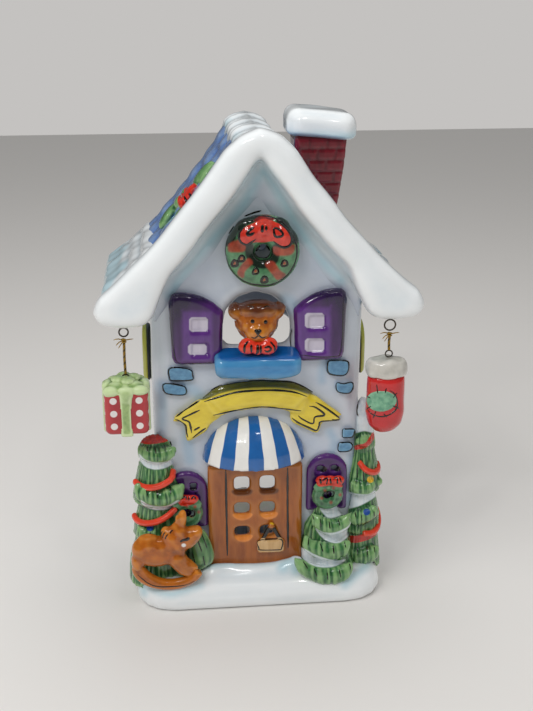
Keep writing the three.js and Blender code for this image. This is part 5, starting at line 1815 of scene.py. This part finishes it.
    def canopy(self) -> None:
        """Makes the awning, whose stripes fan out a little from the wall to the hem."""
        clay = Clay.copied("door_awning", 0.95, 4, 0.4)
        x, y, z = clay.points.T
        pitch = self.pitch + self.spread * (self.awning[2] - z + self.awning[1] - y)
        fan = (x - self.awning[0]) / pitch
        edge = ripple(clay.points, 12, 18) * 0.2
        clay.mark("stripe", (np.abs(fan - np.round(fan)) - self.stripe) * pitch + edge)
        clay.fire("door_awning", "awning", AWNING)


@dataclass
class LowWindow:
    """A purple niche beside the door, with a small wreath and its bow."""

    side: Side

    SHADED_HOLES = {
        Side.LEFT: ((189, 486.8, 197.6, 490.6), (193.5, 491.6, 198, 494.4)),
        Side.RIGHT: ((319.5, 466.3, 327.2, 471.9), (333.5, 466.3, 341.2, 471.2)),
    }
    BOWS = {
        Side.LEFT: ((178.8, 497.5), (186, 495), (196, 495.2), (197.5, 499), (193, 503), (183, 505),
                    (179, 502)),
        Side.RIGHT: ((317, 476.5), (326, 475), (335, 476.2), (341.5, 474.8), (343.3, 480), (341.5, 486),
                     (330, 484.5), (320, 485.5), (317, 482)),
    }
    KNOTS = {
        Side.LEFT: (
            ((182, 499), (185, 496.5), (187, 500)), ((188.5, 496.5), (189, 501)),
            ((191, 499.5), (194, 496.5), (196, 499.5)),
        ),
        Side.RIGHT: (
            ((320, 478), (321, 484)), ((322, 481), (327.5, 478), (326.5, 484.5)),
            ((330, 477.5), (331, 484)), ((333.5, 479.5), (337, 477.5), (337.5, 484)),
            ((339.5, 477), (341.5, 482.5)),
        ),
    }
    BERRIES = {
        Side.LEFT: ((187, 506), (195, 506.5), (199, 512), (191.5, 516)),
        Side.RIGHT: ((325, 490.5), (333.6, 487.8), (321.7, 498.1), (340.2, 494.8), (330.9, 502.4)),
    }
    HOLE = {Side.LEFT: (191.5, 513), Side.RIGHT: (330.7, 493.6)}

    def build(self) -> None:
        """Makes the niche and its wreath."""
        name = self.side.name.lower() + "_window"
        niche = Clay.copied(name, 0.7, 4, 0.35)
        # Painted shade: the niche's small holes are painted black, as they look dark inside.
        for hole in self.SHADED_HOLES[self.side]:
            niche.fill("black", UpperWindow.box(*hole))
        niche.fire(name, "purple", PURPLE)
        bow = np.array(self.BOWS[self.side])
        left, right, middle = bow.min(0)[0] + 5, bow.max(0)[0] - 5, bow.mean(0)
        puffs = [Skin.dollop((x, middle[1]), -34.0, (2.9, 1.8, 2.2)) for x in (left, middle[0], right)]
        clay = Clay.copied(name + "_wreath", 0.5, 3, 0.2, puffs)
        clay.fill("red", bow, grow=0.5)
        for berry in self.BERRIES[self.side]:
            clay.dab("rust", berry, (1.5, 1.5))
        clay.dab("hole", self.HOLE[self.side], (2.4, 2.4))
        canvas = Canvas(clay, niche)
        clay.inks += canvas.lines(self.KNOTS[self.side], 0.9)
        x, y = self.HOLE[self.side]
        loop = [(x - 3, y - 2), (x + 3, y - 2), (x + 2.4, y + 2.6), (x - 2.4, y + 2.6)]
        clay.inks += canvas.line(loop, 0.8, closed=True)
        clay.fire(name + "_wreath", "green", WREATH)


@dataclass
class Tree:
    """A snowy fir that leans on the wall, with its garlands.

    Paths, outlines and dabs are in the photograph's pixels. Above tip the tree is pressed down, and
    slim is the share of its width that a garland keeps.
    """

    name: str
    centre: tuple[float, float]
    coils: tuple[tuple[Points, float, tuple[float, ...]], ...]
    snow: tuple[Points, ...]
    bands: tuple[tuple[float, float], ...]
    baubles: dict[str, Points]
    garlands: tuple[str, ...]
    swags: tuple[tuple[Points, float], ...]
    dashes: tuple[Points, ...]
    tip: float
    slim: float = 1.0
    rib: float = 0.2

    def build(self) -> None:
        """Makes the tree and its garlands."""
        coils = []
        for path, depth, radii in self.coils:
            coils.append(Skin.roll([SIGHT.reach(pixel, depth) for pixel in path], radii, 0.8))
        clay = Clay.copied(self.name, 0.8, 3, 0.3, coils)
        over = np.maximum(clay.points[:, 2] - self.tip, 0)
        clay.points[:, 2] -= 0.8 * over
        front = clay.facing(0.0)
        for outline in self.snow:
            clay.fill("snow", outline)
        z = clay.points[:, 2] + 0.8 * ripple(clay.points, 9, 4)
        for foot, top in self.bands:
            clay.mark("snow", np.where(front, OUTSIDE, np.abs(z - (foot + top) / 2) - (top - foot) / 2))
        x, y = clay.points[:, 0] - self.centre[0], clay.points[:, 1] - self.centre[1]
        needles = np.stack([np.arctan2(y, x) * 11, 0 * x, clay.points[:, 2] * 0.16], axis=1)
        green = np.clip(clay.marks["snow"] / 0.8, 0, 1)
        clay.swell(self.rib * (ripple(needles, 2.3, 31) + 0.6 * ripple(needles, 1.2, 32)) * green)
        for mark, places in self.baubles.items():
            for place in places:
                clay.dab(mark, place, (3.4, 3.4))
        for path, width in self.swags:
            clay.brushed("red", path, width)
        clay.inks += Canvas(clay).lines(self.dashes, 0.6, 0.06)
        clay.fire(self.name, "green", GREEN)
        for garland in self.garlands:
            roll = Clay.copied(garland, 0.5, 4, 0.25)
            aside = roll.points[:, 0] - self.centre[0]
            roll.points[:, 0] = self.centre[0] + aside * self.slim
            roll.fire(garland, "red", RED)


TREES = (
    Tree(
        "left_tree",
        (-47.5, -26.0),
        (
            (
                ((139, 447), (146, 453), (157.5, 456), (168, 453.5), (175.5, 447)),
                -32.5,
                (2.4, 3.4, 3.6, 3.4, 2.4),
            ),
            (
                ((135.5, 484), (145, 494), (159, 498.5), (173, 495), (183.5, 484)),
                -34.0,
                (2.6, 4.0, 4.4, 4.2, 2.8),
            ),
            (((138, 527), (146, 535), (156, 537), (166, 534)), -34.5, (2.6, 3.8, 4.0, 3.0)),
            (((190, 526), (198, 540), (201, 556), (198, 569)), -34.0, (3.4, 5.0, 6.0, 5.0)),
            (((141, 438), (151, 440), (162, 438)), -29.0, (3.4, 4.4, 3.2)),
        ),
        (
            ((139, 454), (146, 460), (157, 462.5), (168, 461), (176, 455), (178.5, 457.5), (174, 463),
             (165, 468), (155, 469.5), (146, 467), (140.5, 461)),
            ((141, 500), (148, 504.5), (158, 506.5), (168, 505.5), (178, 500), (179.5, 503.5), (170, 508.5),
             (158, 510), (148, 508), (142, 504)),
        ),
        ((68.5, 73.0), (45.5, 50.5), (29.0, 33.0)),
        {"blue": ((168.0, 481.6), (150.0, 528.0))},
        ("left_tree_upper_garland", "left_tree_lower_garland"),
        ((((138, 437), (150, 438.5), (164, 436.5)), 2.6),),
        (
            ((147, 446), (148, 452)), ((155, 447), (156, 454)), ((164, 444), (166, 450)),
            ((170, 441), (172, 447)), ((146, 490), (148, 497)), ((157, 489), (158, 499)),
            ((170, 487), (171, 495)), ((178, 478), (179.5, 486)), ((150, 532), (151, 537)),
            ((196, 536), (202, 552)), ((201, 532), (207, 548)), ((192, 552), (197, 570)),
            ((203, 556), (206, 570)), ((187, 560), (191, 574)),
        ),
        tip=81.5,
        slim=0.93,
    ),
    Tree(
        "right_tree",
        (50.0, -21.0),
        (
            (((356, 440), (363, 441), (371, 436)), -28.0, (2.4, 3.2, 2.4)),
            (((351, 482), (358, 488), (367, 488), (374, 482)), -29.5, (2.4, 3.4, 3.4, 2.4)),
            (((346, 515), (356, 518), (368, 514), (376, 506)), -30.5, (2.4, 3.4, 3.4, 2.6)),
            (((350, 552), (360, 556), (370, 553), (378, 546)), -30.5, (2.8, 4.0, 4.2, 3.0)),
        ),
        (
            ((350, 380), (374, 380), (378, 428), (364, 431), (349, 429)),
            ((343, 492), (351, 492.6), (360, 494.2), (369, 494), (375, 490.5), (375.5, 496), (369, 501),
             (359, 506), (349, 508.5), (342, 509)),
        ),
        ((48.0, 54.0), (83.0, 100.0), (26.0, 29.0)),
        {"gold": ((370.4, 479.5),), "blue": ((366.7, 512.0),)},
        ("right_tree_upper_garland", "right_tree_lower_garland"),
        (
            (((356.5, 447.5), (366.7, 444.6), (374, 434.3)), 1.1),
            (((349, 539), (358, 539), (370, 535), (380, 527)), 1.7),
        ),
        (
            ((357, 468), (357.5, 478)), ((363, 470), (364, 482)), ((355, 511), (356, 518)),
            ((361, 514), (362, 521)), ((374, 511), (374.5, 517)), ((357, 548), (358, 556)),
            ((367, 545), (367.5, 556)), ((374, 546), (375, 553)), ((360, 388), (361.5, 393), (361, 400)),
            ((357.5, 404), (357, 412), (359.5, 420)),
        ),
        tip=100.0,
        slim=0.84,
    ),
    Tree(
        "front_tree",
        (32.4, -26.0),
        (
            (
                ((313, 514), (320, 523), (332, 527), (343, 523), (349, 514)),
                -38.5,
                (2.0, 3.4, 4.0, 3.6, 2.2),
            ),
            (
                ((305, 536), (311, 546), (326, 551), (340, 549), (350, 541)),
                -40.5,
                (2.2, 3.6, 4.4, 4.2, 2.6),
            ),
            (
                ((294, 558), (305, 568), (323, 575), (341, 573), (352, 563)),
                -42.0,
                (1.8, 3.6, 4.6, 4.4, 3.0),
            ),
        ),
        (
            ((321.2, 507), (340.3, 505), (343, 513), (336, 517), (328, 517.5), (322, 512)),
            ((315.4, 528.2), (322.7, 531.9), (334.5, 532.6), (347.7, 526.7), (351.6, 521.3), (350.9, 532.6),
             (341.8, 541.4), (333, 542.9), (322.7, 538)),
            ((300.4, 547.3), (313.9, 554.1), (322.7, 557.5), (335.9, 560.5), (345.7, 559.5), (335.9, 565.9),
             (322.7, 567.4), (311, 564.4), (301.2, 556.1)),
        ),
        ((34.0, 38.0), (19.0, 23.0)),
        {},
        (),
        (),
        (
            ((312, 514), (314, 520)), ((320, 518), (321, 527)), ((329, 521), (330, 529)),
            ((338, 519), (340, 526)), ((309, 537), (308, 546)), ((320, 543), (323, 552)),
            ((333, 545), (334, 554)), ((344, 540), (346, 548)), ((303, 561), (308, 569)),
            ((314, 568), (317, 577)), ((327, 572), (328, 580)), ((339, 569), (341, 578)),
            ((349, 562), (351, 570)),
        ),
        tip=60.0,
    ),
)


@dataclass
class RockingHorse:
    """The horse that rocks on a curved runner in front of the left tree."""

    depth: float = -41.6

    MANE = (
        ((160.5, 537.1), (161, 534), (162.6, 531)),
        ((162.6, 538.2), (163.2, 535), (165.1, 532)),
        ((165.1, 539.2), (166.2, 536.5), (168.2, 534.1)),
        ((170, 534), (171, 531.5), (173, 530)),
    )

    def build(self) -> None:
        """Makes the horse and its runner."""
        leg = [SIGHT.reach(spot, -41.8) for spot in ((170, 549), (180, 562), (193, 576))]
        lumps = [
            self.lump((155, 553), (10.0, 4.6, 6.6), -0.1),
            self.lump((142.5, 549.5), (5.0, 4.4, 5.6), 0.0),
            self.lump((171, 543), (4.6, 4.2, 7.2), -0.75),
            self.lump((188.2, 538.5), (6.4, 4.0, 4.2), 0.75),
            self.lump((196.2, 531.6), (3.0, 3.6, 2.8), 0.6),
            self.lump((180.8, 525), (2.0, 2.2, 5.4), 0.28),
            self.lump((166.2, 531.8), (2.4, 2.4, 2.6), 0.4),
            Skin.roll(leg, (5.4, 4.2, 3.4), 0.9),
            self.lump((137.2, 562), (2.6, 3.8, 5.0), 0.1),
        ]
        clay = Clay.copied("rocking_horse", 0.7, 6, 0.25, lumps)
        clay.dab("white", (183.7, 545.3), (2.2, 1.8))
        canvas = Canvas(clay)
        clay.inks += canvas.line(((180.4, 542.2), (183, 540.2), (186.5, 539.6), (189.6, 537.7)), 1.4)
        clay.inks += canvas.lines(self.MANE, 0.7)
        # Painted shade: HORSE darkens the horse's hollows nearly to umber.
        clay.fire("rocking_horse", "horse", HORSE)
        path = ((134.5, 563), (138.5, 573.5), (149, 581), (163, 584.4), (178.9, 583.6), (192, 577.6),
                (197.6, 571.5))
        coil = Skin.roll([SIGHT.reach(pixel, -42.2) for pixel in path], (1.8, 2.3, 2.5, 2.5, 2.4, 2.3, 1.8))
        runner = Clay.copied("horse_rocker", 0.6, 5, 0.2, [coil])
        line = ((137.6, 574.9), (147.8, 583.1), (158, 586.6), (172.2, 586.6), (185.5, 585.1), (194.7, 581))
        runner.inks += Canvas(runner).line(line, 0.6)
        runner.fire("horse_rocker", "horse", HORSE)

    def lump(self, pixel: Sequence[float], radii: Sequence[float], spin: float) -> Skin:
        """Sets one lump of the horse at a pixel of the photograph."""
        return Skin.dollop(pixel, self.depth, radii, spin)


@dataclass(frozen=True)
class Thread:
    """A thread of gold and black strands, twisted together, that frays at its knot."""

    x: float
    y: float
    foot: float
    top: float
    throw: float = 0.34
    strand: float = 0.3
    pitch: float = 3.0

    def strands(self, name: str, slot: str, body: Body, path: Points, node_name: str) -> None:
        """Makes one object of four strands along a path.

        Args:
            name: The name of the object.
            slot: The record's material slot.
            body: The body that it rides on.
            path: The points of the thread's middle line.
            node_name: The node of the frame that it stands for.
        """
        meshes = []
        for number in range(4):
            line = bpy.data.meshes.new("strand")
            points = [tuple(np.array(point) * METRES) for point in spline(path, 0.4)]
            line.from_pydata(points, [(i, i + 1) for i in range(len(points) - 1)], [])
            finish = BLACK_THREAD if number == 3 else GOLD_THREAD
            sizes = {"Pitch": self.pitch, "Throw": self.throw, "Radius": self.strand}
            values = {"Phase": number * math.pi / 2, **{key: size * METRES for key, size in sizes.items()}}
            meshes.append(shaped(line, StrandTree.tree(), {**values, "Finish": finish.material()}))
        whole = Skin.joined([Skin.of_mesh(mesh, METRES) for mesh in meshes])
        mesh = whole.mesh(name, METRES)
        mesh.materials.append(GOLD_THREAD.material())
        mesh.materials.append(BLACK_THREAD.material())
        gold = sum(len(part.polygons) for part in meshes[:3])
        mesh.polygons.foreach_set("material_index", [int(i >= gold) for i in range(len(mesh.polygons))])
        mesh.shade_smooth()
        ride(linked(name, mesh), slot, body, (node_name,))

    def build(self, charm: str, link: Body, thread: Body) -> None:
        """Makes the thread and the knot above it.

        Args:
            charm: The charm's name.
            link: The body that the knot rides on.
            thread: The body that the thread rides on.
        """
        middle = (self.top + self.foot) / 2
        path = ((self.x, self.y, self.foot), (self.x - 0.15, self.y, middle), (self.x, self.y, self.top))
        self.strands(charm + "_cord_look", "cord", thread, path, charm + "_cord")
        knot = Skin.of_node(charm + "_knot")
        centre = (knot.points.min(0) + knot.points.max(0)) / 2
        turns = np.linspace(0, 5.4 * math.pi, 40)
        round_ = (np.cos(turns), np.sin(turns) * 0.8, 0.9 * np.sin(turns * 0.41))
        coil = centre + 0.75 * np.stack(round_, axis=1)
        ends = [
            Skin.roll([centre, centre + middle, centre + tip], radii, sides=8)
            for middle, tip, radii in (
                ((-2.4, -0.6, 1.0), (-4.6, -0.8, 0.6), (0.3, 0.25, 0.18)),
                ((-2.0, -0.9, -0.4), (-3.6, -1.0, -2.0), (0.3, 0.25, 0.18)),
                ((2.0, -0.6, 0.6), (4.2, -0.8, 0.9), (0.3, 0.25, 0.18)),
                ((-1.2, -0.9, -1.2), (-2.6, -0.8, -3.4), (0.26, 0.22, 0.16)),
            )
        ]
        whole = Skin.joined([Skin.roll(coil, (0.42, 0.42), sides=10), *ends])
        mesh = whole.mesh(charm + "_knot_look", METRES)
        mesh.materials.append(GOLD_THREAD.material())
        mesh.shade_smooth()
        ride(linked(charm + "_knot_look", mesh), "cord", link, (charm + "_knot",))


def bend_wire(name: str, body: Body = Body.HOUSE) -> None:
    """Makes one loop or eye of wire."""
    Clay.copied(name, 0.18, 2, 0.02).fire(name, "wire", WIRE, body)


@dataclass
class GiftCharm:
    """The parcel that hangs under the left eave."""

    middle: tuple[float, float, float] = (-59.3, -37.2, 103.0)
    dot: float = 1.55
    column: float = 5.6
    row: float = 6.0
    top_dots: tuple[float, float] = (5.8, 5.0)

    def build(self) -> None:
        """Makes the parcel, its ribbon, its bow and its wire."""
        box = Clay.copied("gift_box", 0.95, 4, 0.5)
        x, y, z = (box.points - np.array(self.middle)).T
        across = np.where(np.abs(box.normals()[:, 1]) > 0.6, x, y)
        rows = np.abs(z - self.row * np.clip(np.round(z / self.row), -1, 1) + 0.2)
        dots = np.hypot(np.abs(across) - self.column, rows) - self.dot
        on_top = np.hypot(np.abs(x) - self.top_dots[0], np.abs(y) - self.top_dots[1]) - self.dot
        box.mark("dots", np.where(box.normals()[:, 2] > 0.7, on_top, dots))
        box.fire("gift_box", "gift", GIFT, Body.GIFT)
        folds = []
        cx, cy, _ = self.middle
        for dx, dy, top, rx, ry, rz in ((-6.2, -7.0, 112.8, 3.6, 1.9, 2.0),
                                        (0.2, -8.0, 111.2, 2.6, 1.2, 3.4),
                                        (6.0, -7.0, 113.0, 3.8, 1.9, 1.9),
                                        (-8.0, 0.0, 113.2, 1.6, 4.6, 2.0), (8.0, 0.0, 113.2, 1.6, 4.6, 2.0),
                                        (0.0, 7.8, 111.6, 3.4, 1.2, 2.8), (-4.6, 4.4, 113.8, 3.6, 3.0, 1.5),
                                        (4.6, 4.4, 113.8, 3.6, 3.0, 1.5),
                                        (-4.2, -4.2, 114.2, 3.2, 2.6, 1.5),
                                        (3.8, -4.0, 114.3, 3.4, 2.6, 1.5),
                                        (0.0, -5.4, 113.6, 2.6, 3.2, 1.6),
                                        (-7.6, -5.8, 112.0, 1.8, 2.6, 1.9)):
            folds.append(Skin.lump((cx + dx, cy + dy, top), (rx, ry, rz)))
        ribbon = Clay.copied("gift_ribbon", 0.7, 2, 0.55, folds)
        ribbon.fire("gift_ribbon", "ribbon", RIBBON, Body.GIFT)
        Clay.copied("gift_bow", 0.5, 3, 0.2).fire("gift_bow", "ribbon", RIBBON, Body.GIFT)
        bend_wire("gift_wire_loop", Body.GIFT)
        Thread(-59.3, -37.2, 118.2, 132.8).build("gift", Body.GIFT_LINK, Body.GIFT_THREAD)


@dataclass
class MittenCharm:
    """The mitten with a sewn patch that hangs under the right eave."""

    PATCH = ((366.6, 399), (370, 393.5), (378, 391), (388, 391.5), (395, 395.5), (396.6, 402), (392.5, 408),
             (384, 411.5), (375, 411), (368.5, 406.5))
    EDGE = ((367.3, 409.4), (372.1, 414.2), (379.8, 416.6), (387.4, 415.6), (393.2, 412.3), (397, 407.5),
            (397, 399.9), (394.1, 393.6), (389.3, 390.3))
    STITCHES = (
        ((376.7, 384.5), (377.2, 389), (377.8, 393.6)),
        ((386.5, 388.3), (385.8, 390.5), (385, 393.2)),
        ((365.4, 395.4), (367.4, 396.6), (370.4, 398)),
        ((393.2, 397.9), (395.2, 395.2), (397.3, 392.7)),
        ((392.7, 405.6), (396, 407.2), (399.2, 408.5)),
        ((365.8, 409.4), (368.4, 407.8), (371, 406.2)),
        ((373.1, 418), (374.6, 414.6), (375.9, 411.3)),
        ((383.6, 413.7), (385.2, 415.5), (386.9, 417.3)),
    )

    def build(self) -> None:
        """Makes the mitten, its cuff, its patch and its wire."""
        sack = Clay.copied("mitten_sack", 0.9, 8, 0.7).wobble(0.2, 18, 40)
        cuff = Clay.copied("mitten_cuff", 0.7, 5, 0.5).wobble(0.25, 6, 41)
        for clay in (sack, cuff):
            clay.points[:, 0] -= 0.9
        patch = Clay.fused([Canvas(sack).applique(self.PATCH, 0.35)], 0.34, 1)
        canvas = Canvas(patch, sack)
        patch.inks += canvas.line(self.EDGE, 0.8)
        patch.inks += canvas.lines(self.STITCHES, 0.65)
        sack.fire("mitten_sack", "red", MITTEN, Body.MITTEN)
        cuff.fire("mitten_cuff", "cuff", CUFF, Body.MITTEN)
        patch.fire("mitten_patch", "patch", PATCH, Body.MITTEN)
        bend_wire("mitten_wire_loop", Body.MITTEN)
        Thread(57.9, -37.2, 125.2, 131.8).build("mitten", Body.MITTEN_LINK, Body.MITTEN_THREAD)


@dataclass
class Tealight:
    """The candle on the floor of the house, in a cup with shallow flutes outside the radius skirt."""

    ribs: int = 40
    centre: tuple[float, float] = (0.0, 4.0)
    skirt: float = 17.8
    flute: float = 0.12

    def build(self) -> None:
        """Makes the cup, the wax, the wick and its plate."""
        cup = Clay.copied("tealight_cup", 0.56, 2, 0.0)
        x, y = cup.points[:, 0] - self.centre[0], cup.points[:, 1] - self.centre[1]
        outside = np.clip((np.hypot(x, y) - self.skirt) * 2, 0, 1)
        cup.swell(-self.flute * outside * (0.5 + 0.5 * np.cos(np.arctan2(y, x) * self.ribs)))
        cup.fire("tealight_cup", "cup", CUP, Body.TEALIGHT)
        for name, voxel, passes, slot, stuff in (
            ("tealight_wax", 1.1, 4, "wax", WAX),
            ("wick_sustainer", 0.35, 2, "cup", CUP),
            ("tealight_wick", 0.25, 2, "wick", WICK),
        ):
            Clay.copied(name, voxel, passes, 0.0).fire(name, slot, stuff, Body.TEALIGHT)


@dataclass
class Plinth:
    """The mound of snow that the house stands on, banked up at the door's foot."""

    BANK = ((203, 569), (230, 569), (262, 568.5), (285, 566), (304, 559))

    def build(self) -> None:
        """Makes the plinth."""
        foot = [SIGHT.reach(pixel, -34.0) for pixel in spline(self.BANK, 6.0)]
        bank = Skin.roll(foot, np.linspace(2.6, 3.6, len(foot)))
        clay = Clay.copied("snow_base", 1.8, 8, 0.3, [bank])
        rise = np.clip((clay.points[:, 2] - 3) / 6, 0, 1)
        clay.swell(0.5 * rise * ripple(clay.points, 30, 17))
        for path, width in (
            (((205, 564), (230, 562), (262, 561), (290, 558)), 2.2),
            (((283, 566), (290, 560), (296, 568)), 3.0),
            (((150, 588), (170, 594), (200, 585)), 1.6),
            (((345, 584), (356, 574), (366, 566)), 2.0),
            (((140, 572), (144, 592)), 2.0),
        ):
            clay.brushed("wash", path, width)
        clay.fire("snow_base", "snow", SNOW)


@dataclass
class Studio:
    """The pale floor, the soft lamps and the camera.

    Of the lamps, only those smaller than glint show in the glaze. The surroundings shine with the
    strength ambient, and with the strength mirrored where the glaze mirrors them.
    """

    sight: Sight = SIGHT
    floor: float = 3000.0
    backdrop: str = "#C4C2C0"
    paper: str = "#E6E3DF"
    ambient: float = 0.42
    mirrored: float = 0.1
    glint: float = 100.0

    LAMPS = (
        ("key_softbox", (-450, -350, 690), 460, 2.3),
        ("fill_softbox", (560, -420, 420), 600, 0.5),
        ("glint_top", (120, -420, 720), 70, 0.3),
        ("top_softbox", (60, 160, 760), 420, 1.2),
        ("glint_left", (-300, -460, 640), 60, 0.38),
        ("glint_right", (-180, -480, 640), 60, 0.38),
    )

    def build(self) -> None:
        """Sets up everything that isn't part of the object."""
        self.camera()
        self.world()
        self.ground()
        for lamp in self.LAMPS:
            self.lamp(*lamp)
        view = bpy.context.scene.view_settings
        view.view_transform = "Standard"

    def camera(self) -> None:
        """Puts the camera where the photograph was taken."""
        data = bpy.data.cameras.new("photo_camera")
        data.sensor_width = 36.0
        data.lens = data.sensor_width * self.sight.focal / self.sight.high
        data.clip_start = 0.01
        camera = bpy.data.objects.new("photo_camera", data)
        camera.location = Vector(self.sight.place) * METRES
        toward = Vector(self.sight.target) - Vector(self.sight.place)
        camera.rotation_euler = toward.to_track_quat("-Z", "Y").to_euler()
        bpy.context.scene.collection.objects.link(camera)
        bpy.context.scene.camera = camera

    def world(self) -> None:
        """Lights the scene softly from all sides, dims it in the glaze and shows a pale grey behind."""
        world = bpy.data.worlds.new("studio")
        bpy.context.scene.world = world
        world.use_nodes = True
        tree = world.node_tree
        tree.nodes.clear()
        ray = node(tree, "ShaderNodeLightPath").outputs
        seen = {0: ray["Is Camera Ray"], 1: ray["Is Transmission Ray"]}
        behind = node(tree, "ShaderNodeMath", seen, operation="MAXIMUM").outputs[0]
        dim = {"Value": ray["Is Glossy Ray"], "To Min": self.ambient, "To Max": self.mirrored}
        around = node(tree, "ShaderNodeMapRange", dim).outputs[0]
        strength = node(tree, "ShaderNodeMix", {0: behind, 2: around, 3: 1.0}).outputs[0]
        colours = {0: behind, 6: (1, 1, 1, 1), 7: linear(self.backdrop)}
        colour = node(tree, "ShaderNodeMix", colours, data_type="RGBA").outputs[2]
        sky = node(tree, "ShaderNodeBackground", {"Color": colour, "Strength": strength})
        node(tree, "ShaderNodeOutputWorld", {"Surface": sky.outputs[0]})

    def ground(self) -> None:
        """Lays the floor that the object stands on."""
        half = self.floor / 2 * METRES
        mesh = bpy.data.meshes.new("studio_floor")
        corners = [(-half, -half, 0), (half, -half, 0), (half, half, 0), (-half, half, 0)]
        mesh.from_pydata(corners, [], [(0, 1, 2, 3)])
        made = bpy.data.materials.new("pale_studio_paper")
        made.use_nodes = True
        shader = made.node_tree.nodes["Principled BSDF"]
        shader.inputs["Base Color"].default_value = linear(self.paper)
        shader.inputs["Roughness"].default_value = 0.6
        mesh.materials.append(made)
        floor = bpy.data.objects.new("studio_floor", mesh)
        bpy.context.scene.collection.objects.link(floor)

    def lamp(self, name: str, place: Sequence[float], size: float, watts: float) -> None:
        """Hangs one square lamp that points at the object; only a small one shows in the glaze.

        Args:
            name: The lamp's name.
            place: Where it hangs, in millimetres.
            size: The side of its square face in millimetres.
            watts: Its power.
        """
        data = bpy.data.lights.new(name, "AREA")
        data.shape = "SQUARE"
        data.size = size * METRES
        data.energy = watts
        lamp = bpy.data.objects.new(name, data)
        lamp.location = Vector(place) * METRES
        lamp.visible_glossy = size < self.glint
        lamp.rotation_euler = (Vector((0, 0, 110)) - Vector(place)).to_track_quat("-Z", "Y").to_euler()
        bpy.context.scene.collection.objects.link(lamp)


def main() -> None:
    """Builds the object and the studio."""
    logging.basicConfig(level=logging.INFO, format="%(message)s")
    parts = (
        Plinth(), Walls(), Roof(), Chimney(), GableWreath(), UpperWindow(), Shopfront(),
        LowWindow(Side.LEFT), LowWindow(Side.RIGHT), *TREES, RockingHorse(), GiftCharm(), MittenCharm(),
        Tealight(),
    )
    for part in parts:
        log.info("%s", type(part).__name__)
        part.build()
    for side in Side:
        bend_wire(side.name.lower() + "_wire_eye")
    Studio().build()
    bpy.context.view_layer.update()


if __name__ == "__main__":
    main()
